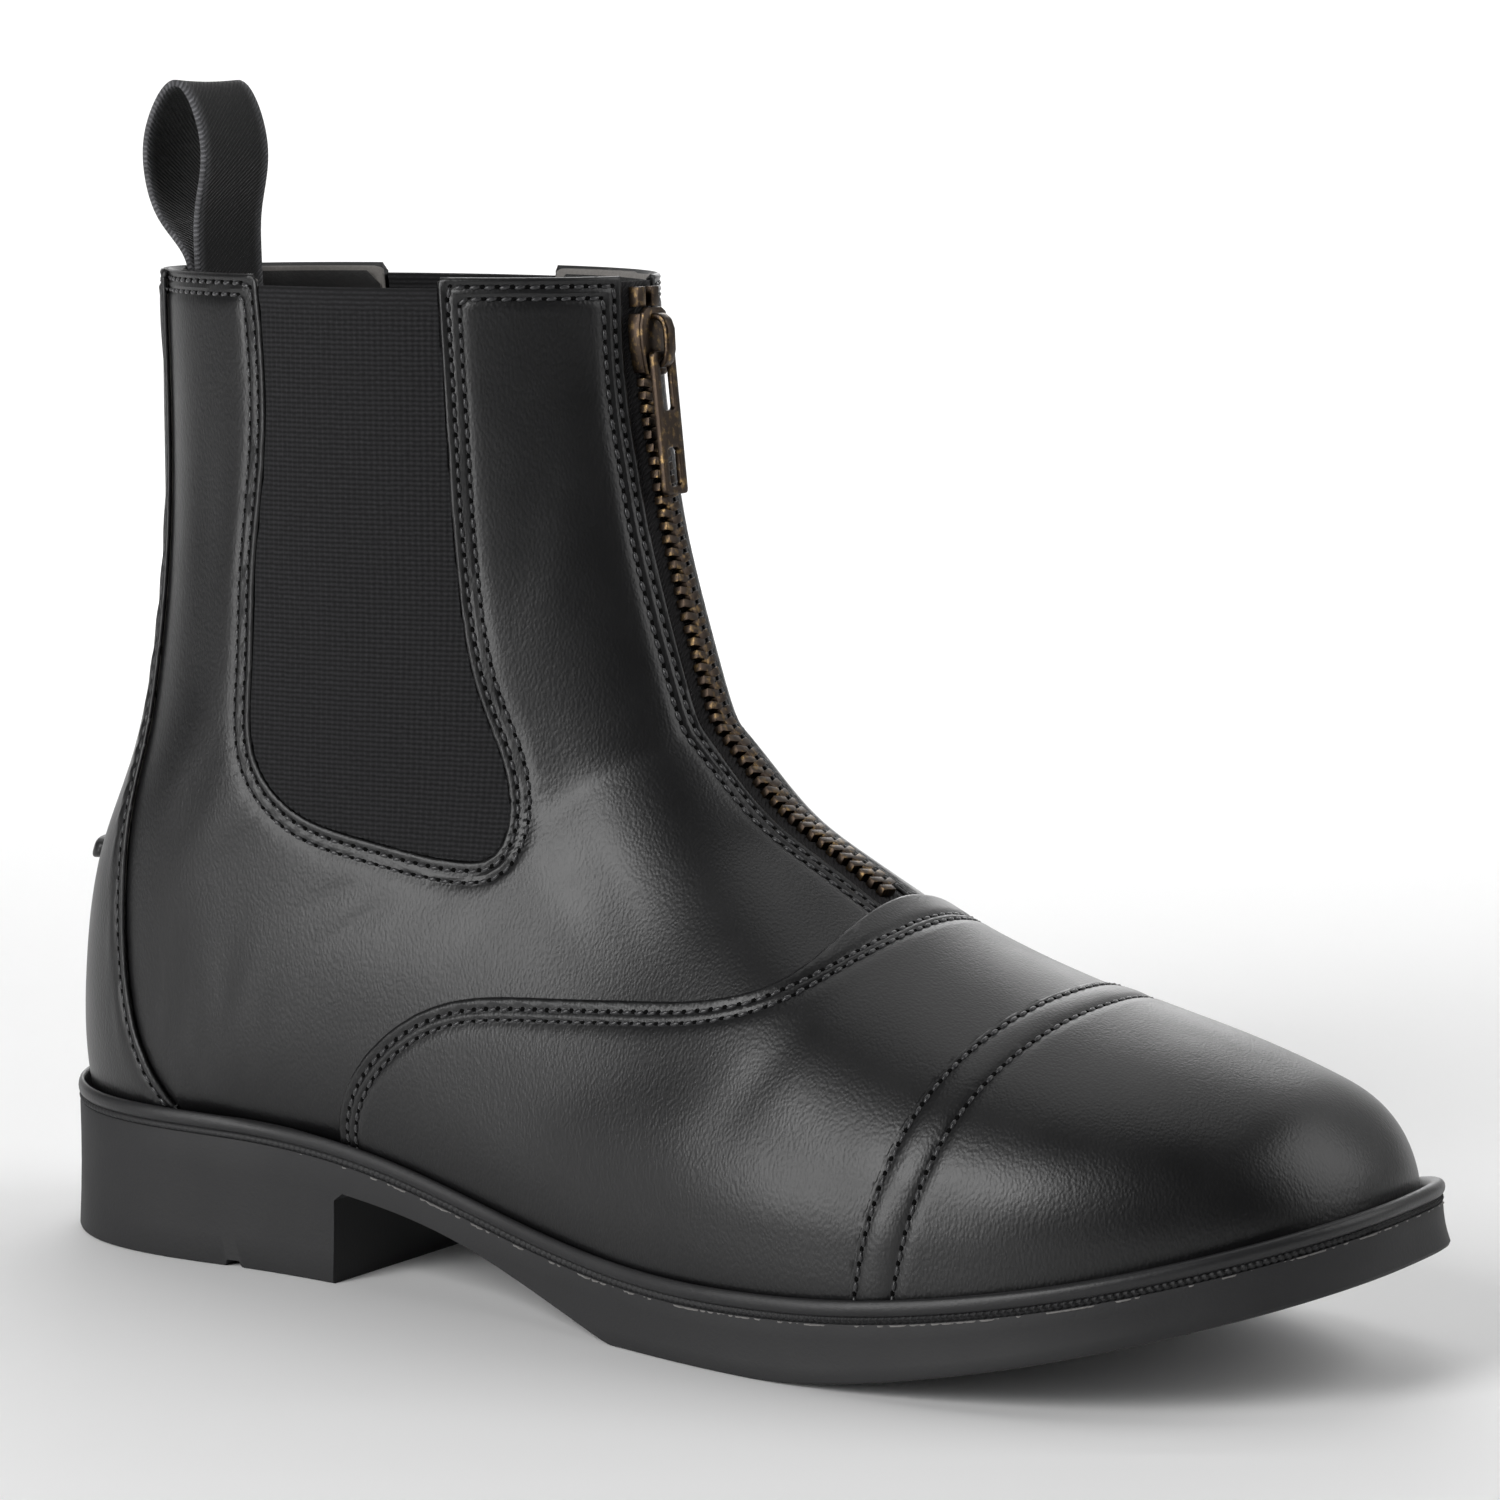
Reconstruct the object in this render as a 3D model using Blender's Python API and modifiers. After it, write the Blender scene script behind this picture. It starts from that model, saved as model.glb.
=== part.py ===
"""Zip-front jodhpur boot for the right foot, standing on its sole.

Metres, +Z up, toe towards +X, outer side towards -Y. The origin is on the floor, under the middle of the sole's
box. The tables are in millimetres, from behind the heel and from the floor, for a sole of the table's size,
and are graded to the driving dimensions.
"""

from collections import namedtuple

import bmesh
import bpy
import numpy as np
from mathutils import Matrix, Vector

MM = 0.001

# Driving dimensions
SOLE_LENGTH = 280.0
BALL_WIDTH = 99.0
COLLAR_HEIGHT = 186.0
WALL = 2.0
GAP = 0.3

# Size that the tables are drawn in
TABLE_LENGTH = 280.0
TABLE_WIDTH = 99.0
TABLE_HEIGHT = 186.0
GRADE_X = SOLE_LENGTH / TABLE_LENGTH
GRADE_Y = BALL_WIDTH / TABLE_WIDTH
GRADE_Z = COLLAR_HEIGHT / TABLE_HEIGHT

# Sections of the last from the tip of the toe, round the heel and up to the collar. Each row is one plane across
# the boot, from its base point under the foot (behind the leg, higher up) to its top point on the ridge.
# lateral and medial are half-widths from the ridge line, widest is the share of the height where they are reached,
# and dome and hull are the roundness of the section above and below that.
Section = namedtuple("Section", "base_x base_z top_x top_z ridge_y lateral medial widest dome hull")
LAST_GRADE = Section(GRADE_X, GRADE_Z, GRADE_X, GRADE_Z, GRADE_Y, GRADE_Y, GRADE_Y, 1, 1, 1)
LAST = (
    Section(277.0, 26, 277.0, 26, 6.0, 0.0, 0.0, 0.42, 2.2, 3.0),
    Section(276.0, 20, 275.8, 36, 6.0, 13.0, 12.0, 0.42, 2.2, 3.0),
    Section(272.0, 18, 271.0, 44, 6.0, 23.0, 20.5, 0.42, 2.2, 3.2),
    Section(261.0, 14, 259.5, 50.5, 5.5, 34.0, 29.5, 0.40, 2.2, 3.4),
    Section(244.0, 9.5, 241.5, 55.5, 5.0, 43.5, 37.0, 0.38, 2.2, 3.7),
    Section(220.0, 5, 216.5, 62, 4.0, 49.0, 42.0, 0.36, 2.1, 4.0),
    Section(192.0, 2, 188.5, 72.5, 3.0, 50.5, 43.5, 0.34, 2.0, 4.0),
    Section(165.0, 2, 172.5, 82, 2.0, 47.5, 41.5, 0.33, 1.95, 3.7),
    Section(130.0, 5, 160.0, 90, 1.5, 41.5, 38.0, 0.35, 2.0, 3.2),
    Section(92.0, 12, 151.5, 98.5, 1.0, 37.5, 36.5, 0.37, 2.1, 2.8),
    Section(48.0, 16, 146.5, 104.5, 0.5, 36.5, 36.0, 0.39, 2.15, 2.6),
    Section(14.0, 17.5, 144.0, 110.5, 0.0, 36.0, 35.5, 0.40, 2.15, 2.5),
    Section(7.0, 29, 141.0, 119.5, 0.0, 35.5, 35.5, 0.40, 2.15, 2.3),
    Section(6.5, 50, 137.5, 131, 0.0, 35.5, 35.5, 0.41, 2.1, 2.2),
    Section(11.0, 71, 134.5, 142.5, 0.0, 35.0, 35.0, 0.42, 2.05, 2.2),
    Section(17.5, 88, 132.8, 151, 0.0, 34.5, 34.5, 0.44, 2.0, 2.1),
    Section(23.0, 107, 131.0, 160, 0.0, 34.5, 34.5, 0.46, 1.95, 2.1),
    Section(26.5, 131, 129.8, 169, 0.0, 34.5, 34.5, 0.48, 1.9, 2.1),
    Section(26.5, 186, 129.0, 186, 0.0, 35.0, 35.0, 0.50, 1.85, 2.1),
)
FORM_FRONT_ROWS = 25
FORM_LEG_ROWS = 9
FORM_COLUMNS = 10
END_CROWDING = 0.8
BEND_CROWDING = 0.6
OUTLINE_POINTS = 30
EDGE_STEPS = 26
# Close spacing of the points that curves are measured on before they are spaced anew
FINE_STATIONS = 4000
FINE_TURN = 60
FINE_OUTLINE = 240
SMOOTH_ANGLE = 35.0

# Heights along the sole: its top edge, its underside before the arch is cut, and the arch
Profile = namedtuple("Profile", "x z")
SOLE_TOP = (
    Profile(0, 25.5),
    Profile(40, 24.9),
    Profile(80, 23.2),
    Profile(100, 20.2),
    Profile(125, 14.8),
    Profile(151, 11.0),
    Profile(181, 10.7),
    Profile(202, 12.1),
    Profile(228, 15.9),
    Profile(255, 21.9),
    Profile(284, 30.5),
)
TOE_SPRING_X = 186.0
TOE_SPRING = 21.0
TOE_SPRING_POWER = 1.45
HEEL_BREAST_X = 82.5
ARCH = (
    Profile(HEEL_BREAST_X + 2.0, 17.2),
    Profile(97, 15.6),
    Profile(112, 12.5),
    Profile(131, 6.6),
    Profile(150, 0.6),
    Profile(160, -2.0),
)
HEEL_GROOVE_X = 58.5
HEEL_GROOVE_WIDTH = 4.0
HEEL_GROOVE_DEPTH = 1.3
HEEL_GROOVE_FLOOR = 0.7

# Distance of the sole's edge and of the welt's inner edge from the foot of the upper, along the sole
Ledge = namedtuple("Ledge", "x sole welt flare")
LEDGES = (
    Ledge(0, 3.9, 2.5, 0.4),
    Ledge(25, 4.7, 2.3, 0.4),
    Ledge(53, 5.2, 1.7, 0.4),
    Ledge(60, 5.1, 0.6, 0.4),
    Ledge(70, 5.0, 0.6, 0.4),
    Ledge(78, 5.0, 1.7, 0.4),
    Ledge(130, 4.9, 1.7, 0.5),
    Ledge(150, 4.6, 1.7, 0.6),
    Ledge(170, 4.3, 1.7, 0.7),
    Ledge(186, 3.9, 1.7, 0.8),
    Ledge(196, 4.0, 1.7, 0.8),
    Ledge(206, 4.2, 2.3, 0.9),
    Ledge(284, 5.8, 2.7, 1.4),
)
SOLE_CORNER = 0.7
BREAST_CORNER = 1.5
BELOW_FLOOR = -5.0
BEAD_HEIGHT = 4.0
BEAD_ROUND = 0.9
BEAD_NOTCH = 1.0
BEAD_PROUD = 0.3
INSOLE_INSET = WALL + 1.2
INSOLE_THICKNESS = 3.0

# Edges of the panels in side view
GUSSET_EDGE = (
    Profile(66.5, 192),
    Profile(68.5, 156),
    Profile(66.0, 134),
    Profile(65.0, 112),
    Profile(66.2, 97),
    Profile(72.5, 89.3),
    Profile(91, 83.6),
    Profile(110, 81.2),
    Profile(117, 82.8),
    Profile(118.8, 89),
    Profile(112.5, 109),
    Profile(106.2, 146),
    Profile(104, 192),
)
INNER_GUSSET_SHIFT = -18.0
ABOVE_COLLAR = 5.0
GUSSET_DROP = 2.0
GUSSET_SINK = 0.5
GUSSET_THICKNESS = 1.1
VAMP_EDGE = (
    Profile(82.3, 6),
    Profile(83.5, 28),
    Profile(87.5, 38),
    Profile(96, 48),
    Profile(109, 55.5),
    Profile(130, 58.7),
    Profile(153, 60.3),
    Profile(171, 62.6),
    Profile(180.3, 67.3),
    Profile(182.5, 75),
    Profile(180.5, 84),
    Profile(179, 90),
)
CAP_EDGE = (
    Profile(202, 6),
    Profile(203.5, 18),
    Profile(207, 35),
    Profile(211, 50),
    Profile(217, 62),
    Profile(223, 68),
    Profile(230, 73),
)
BACK_STRIP_EDGE = (
    Profile(36.5, 194),
    Profile(35.5, 150),
    Profile(35.5, 118),
    Profile(34, 100),
    Profile(32.5, 78),
    Profile(32.5, 57),
    Profile(36, 42),
    Profile(43.5, 30),
    Profile(51, 20),
)
BEYOND = 30.0
PANEL_FOOT = 1.0
VAMP_THICKNESS = 1.0
CAP_THICKNESS = 1.6
BACK_STRIP_THICKNESS = 1.0
SPUR_REST_HEIGHT = 73.5
SPUR_REST_SIZE = (36.0, 32.0, 4.6)
SPUR_REST_OUT = 3.0
SPUR_REST_ROUND = 1.2

# Zip down the front: the slit, the tape and the closed teeth follow the ridge, y across it and d out of it
ZIP_FOOT_Z = 79.5
ZIP_STEP = 6.5
SLIT_HALF_WIDTH = 5.0
SLIT_REACH = (-7.0, 6.0)
TAPE_HALF_WIDTH = SLIT_HALF_WIDTH - GAP
TAPE_DROP = 1.0
TAPE_TOP = -0.6
TAPE_THICKNESS = 1.0
TEETH_START = 1.5
TOOTH_HALF_WIDTH = 2.6
TOOTH_PITCH = 2.4
TOOTH_LOW = 0.7
TOOTH_HIGH = 1.4

# Slider and pull, in the slider's own frame: x down the ridge, y across, z out
SLIDER_Z = 174.0
SLIDER_LENGTH = 12.5
SLIDER_WIDTH = 8.4
SLIDER_FLANGE = 1.0
SLIDER_PLATE = (1.7, 2.7)
BAIL_LENGTH = 10.0
BAIL_WIDTH = 2.2
BAIL_STRAP = 1.3
BAIL_TOP = 6.2
BAIL_SUNK = 0.3
HINGE_OUT = 3.8
HINGE_DOWN = 2.4
PULL_TILT = 3.0
PULL_LENGTH = 26.0
PULL_WIDTH = 7.0
PULL_THICKNESS = 1.2
PULL_CORNER = 1.2
PULL_BAR = 1.2
PULL_SLOT = (9.5, 3.6)
PULL_WINDOW = (7.0, 3.8)
PULL_WINDOW_END = 1.5

# Loop of webbing, in side view
LOOP_WIDTH = 19.0
LOOP_THICKNESS = 1.2
LOOP_ROUTE = (
    Profile(33.7, 166),
    Profile(33.6, 178),
    Profile(33.2, 188),
    Profile(33.3, 196),
    Profile(34.8, 204),
    Profile(34.0, 213),
    Profile(28.8, 220.2),
    Profile(23.0, 214),
    Profile(21.6, 204),
    Profile(24.9, 195.2),
    Profile(31.2, 187.6),
    Profile(32.1, 178),
    Profile(32.0, 166),
)
LOOP_STEPS = 28

# Colours, roughness and metallic value
Finish = namedtuple("Finish", "colour roughness metallic")
LEATHER = Finish("1B1B1C", 0.42, 0.0)
RUBBER = Finish("232324", 0.7, 0.0)
ELASTIC = Finish("18181A", 0.85, 0.0)
WEBBING = Finish("1D1D1F", 0.85, 0.0)
LINING = Finish("2A2928", 0.9, 0.0)
BRASS = Finish("6E6252", 0.38, 1.0)


def spline(knots, values, at):
    """Natural cubic spline through values (one column per curve) at the given knots."""
    knots, values, at = np.asarray(knots, float), np.asarray(values, float), np.asarray(at, float)
    step = np.diff(knots)
    count = len(knots)
    matrix = np.eye(count)
    target = np.zeros_like(values)
    for i in range(1, count - 1):
        matrix[i, i - 1 : i + 2] = step[i - 1], 2 * (step[i - 1] + step[i]), step[i]
        target[i] = 6 * ((values[i + 1] - values[i]) / step[i] - (values[i] - values[i - 1]) / step[i - 1])
    bend = np.linalg.solve(matrix, target)
    i = np.clip(np.searchsorted(knots, at) - 1, 0, count - 2)
    shape = (-1,) + (1,) * (values.ndim - 1)
    width = step[i].reshape(shape)
    a = ((knots[i + 1] - at) / step[i]).reshape(shape)
    b = 1 - a
    curve = ((a**3 - a) * bend[i] + (b**3 - b) * bend[i + 1]) * width**2 / 6
    return a * values[i] + b * values[i + 1] + curve


def along(points):
    """Distance along a line of points to each of them."""
    return np.concatenate([[0.0], np.cumsum(np.linalg.norm(np.diff(points, axis=0), axis=1))])


def respaced(points, steps):
    """A line of points spaced anew from end to end, closer in its bends."""
    length = along(points)
    heading = np.diff(points, axis=0) / np.diff(length)[:, None]
    turning = np.arccos(np.clip((heading[1:] * heading[:-1]).sum(axis=1), -1, 1))
    bend = np.concatenate([[0.0], np.cumsum(turning), [turning.sum()]])
    measure = length / length[-1] + BEND_CROWDING * bend / max(bend[-1], 1e-9)
    even = np.linspace(0, measure[-1], steps + 1)
    return np.stack([np.interp(even, measure, column) for column in points.T], axis=1)


def smooth(profile, steps):
    """Smooth side-view line through the graded points of a profile."""
    points = np.array(profile) * (GRADE_X, GRADE_Z)
    length = along(points)
    return spline(length, points, np.linspace(0, length[-1], steps + 1))


def sole_top(x):
    table = np.array(SOLE_TOP) * (GRADE_X, GRADE_Z)
    return spline(table[:, 0], table[:, 1], np.atleast_1d(x))


def sole_underside(x):
    share = np.clip((x - TOE_SPRING_X * GRADE_X) / (SOLE_LENGTH - TOE_SPRING_X * GRADE_X), 0, None)
    return TOE_SPRING * share**TOE_SPRING_POWER


def graded_last():
    return np.array(LAST) * np.array(LAST_GRADE)


def section_knots():
    """Distance from the tip of the toe to each section, the mean of its base's and its top's."""
    table = graded_last()
    return (along(table[:, 0:2]) + along(table[:, 2:4])) / 2


def sections_at(stations):
    """Section sizes at these distances. Past the tip the sections run on mirrored, so that the toe closes round."""
    table, knots = graded_last(), section_knots()
    mirrored = table[2:0:-1].copy()
    mirrored[:, 0:2], mirrored[:, 2:4] = table[2:0:-1, 2:4], table[2:0:-1, 0:2]
    mirrored[:, 5:7] *= -1
    return spline(np.concatenate([-knots[2:0:-1], knots]), np.concatenate([mirrored, table]), stations)


def half_section(section, side, steps, lift):
    """Points of one half of a section from its foot, or the back seam, up to the ridge, closer in its bends.

    The foot is where the section comes within the gap and the lift of the sole's top.
    """
    s = Section(*section)
    width = max(s.lateral if side < 0 else s.medial, 0)
    turn = np.linspace(0, np.pi / 2, FINE_TURN)
    low_rise = s.widest * (1 - np.cos(turn) ** (2 / s.hull))
    low_out = np.sin(turn) ** (2 / s.hull)
    high_rise = s.widest + (1 - s.widest) * np.sin(turn) ** (2 / s.dome)
    high_out = np.cos(turn) ** (2 / s.dome)
    rise = np.concatenate([low_rise, high_rise[1:]])
    points = np.empty((len(rise), 3))
    points[:, 0] = s.base_x + rise * (s.top_x - s.base_x)
    points[:, 1] = s.ridge_y + side * width * np.concatenate([low_out, high_out[1:]])
    points[:, 2] = s.base_z + rise * (s.top_z - s.base_z)
    clear = points[:, 2] - sole_top(points[:, 0]) - GAP - lift
    below = np.nonzero(clear < 0)[0]
    if len(below):
        i = min(below[-1], len(points) - 2)
        share = min(clear[i] / (clear[i] - clear[i + 1]), 1.0)
        points = np.concatenate([[points[i] + share * (points[i + 1] - points[i])], points[i + 1 :]])
    return respaced(points, steps)


def end_stations(lift):
    """Stations where the toe and the back of the heel come down to the sole, and the collar's."""
    fine = np.linspace(0, section_knots()[-1], FINE_STATIONS)
    rows = sections_at(fine)
    top_clear = rows[:, 3] - sole_top(rows[:, 2]) - GAP - lift
    base_clear = rows[:, 1] - sole_top(rows[:, 0]) - GAP - lift
    toe = fine[np.nonzero(top_clear > 0)[0][0]]
    heel = fine[np.nonzero(base_clear < 0)[0][-1] + 1]
    return toe, heel, fine[-1]


def front_stations(rows, crowding, lift):
    """Stations from the toe to the back of the heel, closer together at both ends."""
    toe, heel, _ = end_stations(lift)
    even = np.linspace(0, 1, rows + 1)
    eased = (1 - np.cos(np.pi * even)) / 2
    return toe + (heel - toe) * (crowding * eased + (1 - crowding) * even)


def last_form():
    """Grid of points over the last, from the toe to the collar, each row from the outer side over the ridge."""
    _, heel, collar = end_stations(0.0)
    front = front_stations(FORM_FRONT_ROWS, END_CROWDING, 0.0)
    stations = np.concatenate([front, np.linspace(heel, collar, FORM_LEG_ROWS + 1)[1:]])
    rows = []
    for section in sections_at(stations):
        outer, inner = (half_section(section, side, FORM_COLUMNS, 0.0) for side in (-1, 1))
        rows.append(np.concatenate([outer, inner[-2::-1]]))
    return np.array(rows)


def foot_outline(lift):
    """Closed outline of the upper at a lift above its foot, from the toe along the outer side and back."""
    sections = sections_at(front_stations(FINE_OUTLINE, 1.0, lift))
    sides = []
    for side in (-1, 1):
        feet = np.array([half_section(section, side, 1, lift)[0, :2] for section in sections])
        sides.append(respaced(feet, OUTLINE_POINTS))
    return np.concatenate([sides[0], sides[1][-2:0:-1]])


def widened(outline, distance):
    """A closed outline moved outwards by a distance, or by one for each point."""
    run = np.roll(outline, -1, axis=0) - np.roll(outline, 1, axis=0)
    out = np.stack([-run[:, 1], run[:, 0]], axis=1) / np.linalg.norm(run, axis=1)[:, None]
    return outline + out * np.reshape(distance, (-1, 1))


def ledge(outline):
    """Sole edge, welt edge and flare at each point of the outline."""
    table = np.array(LEDGES)
    return [np.interp(outline[:, 0], table[:, 0] * GRADE_X, table[:, column]) for column in (1, 2, 3)]


def ring(outline, height):
    return np.column_stack([outline, height])


def spine(points):
    """The middle line of a ring: each point halfway to its partner on the other side."""
    partner = np.roll(points[::-1], 1, axis=0)
    return (points + partner) / 2


def frame_origin():
    """Middle of the sole's box on the floor."""
    outline = foot_outline(0.0)
    edge, _, flare = ledge(outline)
    outline = widened(outline, edge + flare)
    return np.append((outline.min(axis=0) + outline.max(axis=0)) / 2, 0.0)


ORIGIN = frame_origin()


def world(points):
    return (np.asarray(points) - ORIGIN) * MM


def ridge_surface(station, across):
    """Points of the form beside the ridge, at distances across it."""
    s = Section(*np.moveaxis(sections_at(np.atleast_1d(station)), 1, 0)[:, :, None])
    across = np.asarray(across, float)[None, :]
    width = np.where(across < 0, s.lateral, s.medial)
    rise = s.widest + (1 - s.widest) * (1 - (np.abs(across) / width) ** s.dome) ** (1 / s.dome)
    x = s.base_x + rise * (s.top_x - s.base_x)
    z = s.base_z + rise * (s.top_z - s.base_z)
    return np.stack([x, s.ridge_y + across, z], axis=-1)


def ridge_bar(stations, section):
    """Rings of points that follow the ridge. Each point of the section is a distance across and one outwards."""
    across, out = np.array(section, float).T
    step = 0.5
    run = ridge_surface(stations + step, across) - ridge_surface(stations - step, across)
    side = ridge_surface(stations, across + step) - ridge_surface(stations, across - step)
    normal = np.cross(side, run)
    normal /= np.linalg.norm(normal, axis=-1, keepdims=True)
    return ridge_surface(stations, across) + normal * out[None, :, None]


def ridge_stations(low, high, spacing):
    """Stations up the ridge between two heights, evenly spaced along it."""
    fine = np.linspace(0, section_knots()[-1], FINE_STATIONS)
    ridge = sections_at(fine)[:, 2:4]
    low_at, high_at = (np.interp(height * GRADE_Z, ridge[:, 1], along(ridge)) for height in (low, high))
    steps = round((high_at - low_at) / spacing)
    return np.interp(np.linspace(low_at, high_at, steps + 1), along(ridge), fine)


def lofted(rows, around=False, capped=False):
    """Surface through rows of points. It closes round each row, and over its ends, where asked."""
    rows = np.asarray(rows, float)
    if capped:
        ends = rows[[0, -1]].mean(axis=1, keepdims=True).repeat(rows.shape[1], axis=1)
        rows = np.concatenate([ends[:1], rows, ends[1:]])
    if around:
        rows = np.concatenate([rows, rows[:, :1]], axis=1)
    points = world(rows)
    last_row, last_column = rows.shape[0] - 1, rows.shape[1] - 1
    bm = bmesh.new()
    bmesh.ops.create_grid(bm, x_segments=last_column, y_segments=last_row, size=1)
    for vert in bm.verts:
        row = round((vert.co.y + 1) / 2 * last_row)
        column = round((vert.co.x + 1) / 2 * last_column)
        vert.co = points[row, column]
    bmesh.ops.remove_doubles(bm, verts=bm.verts, dist=1e-6)
    bmesh.ops.recalc_face_normals(bm, faces=bm.faces)
    bmesh.ops.triangulate(bm, faces=bm.faces, quad_method="SHORT_EDGE")
    return bm


def prism(outline, depth_axis, low, high):
    """A flat outline extruded between two places along an axis, in millimetres of the outline's own frame."""
    bm = bmesh.new()
    plane = [axis for axis in range(3) if axis != depth_axis]
    corners = np.zeros((len(outline), 3))
    corners[:, plane] = outline
    corners[:, depth_axis] = low
    face = bm.faces.new([bm.verts.new(corner * MM) for corner in corners])
    swept = bmesh.ops.extrude_face_region(bm, geom=[face])["geom"]
    shift = Vector([(high - low) * MM if axis == depth_axis else 0 for axis in range(3)])
    bmesh.ops.translate(bm, vec=shift, verts=[v for v in swept if isinstance(v, bmesh.types.BMVert)])
    bmesh.ops.recalc_face_normals(bm, faces=bm.faces)
    return bm


def side_prism(outline, low, high):
    """A side-view outline in table coordinates, extruded across the boot."""
    return prism(outline - ORIGIN[[0, 2]], 1, low - ORIGIN[1], high - ORIGIN[1])


def box(size, centre):
    bm = bmesh.new()
    bmesh.ops.create_cube(bm, size=1, matrix=Matrix.Translation(centre) @ Matrix.Diagonal((*size, 1)))
    return bm


def add_object(name, bm, collection, finish=None, matrix=None):
    mesh = bpy.data.meshes.new(name)
    bm.to_mesh(mesh)
    bm.free()
    mesh.shade_smooth()
    mesh.set_sharp_from_angle(angle=np.radians(SMOOTH_ANGLE))
    obj = bpy.data.objects.new(name, mesh)
    collection.objects.link(obj)
    if matrix is not None:
        obj.matrix_world = matrix
    if finish is None:
        obj.hide_render = True
        obj.display_type = "WIRE"
    else:
        mesh.materials.append(material(finish))
    return obj


def material(finish):
    """Principled material of a finish, made once."""
    name = f"finish_{finish.colour}"
    made = bpy.data.materials.get(name)
    if made:
        return made
    made = bpy.data.materials.new(name)
    made.use_nodes = True
    shader = made.node_tree.nodes["Principled BSDF"]
    channels = np.array([int(finish.colour[i : i + 2], 16) / 255 for i in (0, 2, 4)])
    linear = np.where(channels <= 0.04045, channels / 12.92, ((channels + 0.055) / 1.055) ** 2.4)
    shader.inputs["Base Color"].default_value = (*linear, 1)
    shader.inputs["Roughness"].default_value = finish.roughness
    shader.inputs["Metallic"].default_value = finish.metallic
    made.diffuse_color = (*linear, 1)
    return made


def combine(obj, operation, *tools):
    for tool in tools:
        step = obj.modifiers.new(f"{operation.lower()}_{tool.name}", "BOOLEAN")
        step.operation = operation
        step.object = tool


def thicken(obj, thickness, side):
    """Wall on an open surface: on its inner side for -1, to both sides for 0."""
    shell = obj.modifiers.new("wall", "SOLIDIFY")
    shell.thickness = thickness * MM
    shell.offset = side


def form_shell(name, outside, thickness, parts, finish):
    """Wall that follows the last, its outer face a distance outside it."""
    bm = lofted(last_form())
    middle = Vector(world([SOLE_LENGTH / 3, 0, COLLAR_HEIGHT / 4]))
    if sum((face.calc_center_median() - middle).dot(face.normal) * face.calc_area() for face in bm.faces) < 0:
        bmesh.ops.reverse_faces(bm, faces=bm.faces)
    bm.normal_update()
    moved = [vert.co + vert.normal * outside * MM for vert in bm.verts]
    for vert, place in zip(bm.verts, moved):
        vert.co = place
    obj = add_object(name, bm, parts, finish)
    thicken(obj, thickness, -1)
    return obj


def panel_region(edge, far_x):
    """Side-view outline of an overlay: its smooth edge, closed level at both ends past the end of the boot."""
    line = smooth(edge, EDGE_STEPS)
    far = line[[-1, 0]] * (0, 1) + (far_x * GRADE_X, 0)
    return np.concatenate([line, far])


def gusset_region(shift, inset, top):
    """Side-view outline of a gusset, its edge moved inwards and cut off level at the top."""
    edge = smooth(GUSSET_EDGE, 2 * EDGE_STEPS) + (shift * GRADE_X, 0)
    run = np.gradient(edge, axis=0)
    edge += inset * np.stack([-run[:, 1], run[:, 0]], axis=1) / np.linalg.norm(run, axis=1)[:, None]
    below = edge[edge[:, 1] < top - 0.5]
    corners = below[[0, -1]] * (1, 0) + (0, top)
    return np.concatenate([corners[:1], below, corners[1:]])


def make_sole(parts, cutters):
    foot = foot_outline(0.0)
    edge, inner, flare = ledge(foot)
    round_off = SOLE_CORNER
    top_edge, side_edge = widened(foot, edge - round_off), widened(foot, edge)
    low_edge, floor_edge = widened(foot, edge + flare), widened(foot, edge + flare - round_off)
    top = ring(top_edge, sole_top(top_edge[:, 0]))
    side = ring(side_edge, sole_top(side_edge[:, 0]) - round_off)
    low = ring(low_edge, sole_underside(low_edge[:, 0]) + round_off)
    floor = ring(floor_edge, sole_underside(floor_edge[:, 0]))
    outsole = add_object("outsole", lofted([spine(top), top, side, low, floor, spine(floor)], True), parts, RUBBER)

    breast = HEEL_BREAST_X * GRADE_X
    corner = [(breast, BELOW_FLOOR), (breast, (ARCH[0].z - BREAST_CORNER) * GRADE_Z)]
    arch = np.concatenate([corner, smooth(ARCH, EDGE_STEPS)])
    arch = np.concatenate([arch, [(arch[-1, 0], BELOW_FLOOR)]])
    groove = np.array([(-1, -1), (-1, 0), (-HEEL_GROOVE_FLOOR, 1), (HEEL_GROOVE_FLOOR, 1), (1, 0), (1, -1)])
    groove = groove * (HEEL_GROOVE_WIDTH / 2, HEEL_GROOVE_DEPTH) + (HEEL_GROOVE_X * GRADE_X, 0)
    arch_cutter = add_object("arch_cutter", side_prism(arch, -BALL_WIDTH, BALL_WIDTH), cutters)
    groove_cutter = add_object("groove_cutter", side_prism(groove, -BALL_WIDTH, BALL_WIDTH), cutters)
    combine(outsole, "DIFFERENCE", arch_cutter, groove_cutter)

    shoulder = BEAD_HEIGHT - BEAD_ROUND
    foot_high = foot_outline(shoulder)
    inner_high = ledge(foot_high)[1]
    outer = edge + BEAD_PROUD
    rows = [
        (foot, inner, GAP),
        (foot_high, inner_high, shoulder),
        ((foot + foot_high) / 2, (inner + outer) / 2, BEAD_HEIGHT),
        (foot, outer - BEAD_ROUND / 2, shoulder),
        (foot, outer, BEAD_HEIGHT / 2),
        (foot, outer - BEAD_ROUND / 2, BEAD_NOTCH + BEAD_ROUND / 2),
        (foot, outer - BEAD_ROUND, BEAD_NOTCH),
        (foot, outer - BEAD_ROUND, GAP),
        (foot, inner, GAP),
    ]
    rings = []
    for outline, distance, rise in rows:
        outline = widened(outline, distance)
        rings.append(ring(outline, sole_top(outline[:, 0]) + rise))
    add_object("welt", lofted(rings, True), parts, RUBBER)

    inset = widened(foot, -INSOLE_INSET)
    low = ring(inset, sole_top(inset[:, 0]) + GAP)
    high = low + (0, 0, INSOLE_THICKNESS)
    add_object("insole", lofted([spine(high), high, low, spine(low)], True), parts, LINING)


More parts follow.
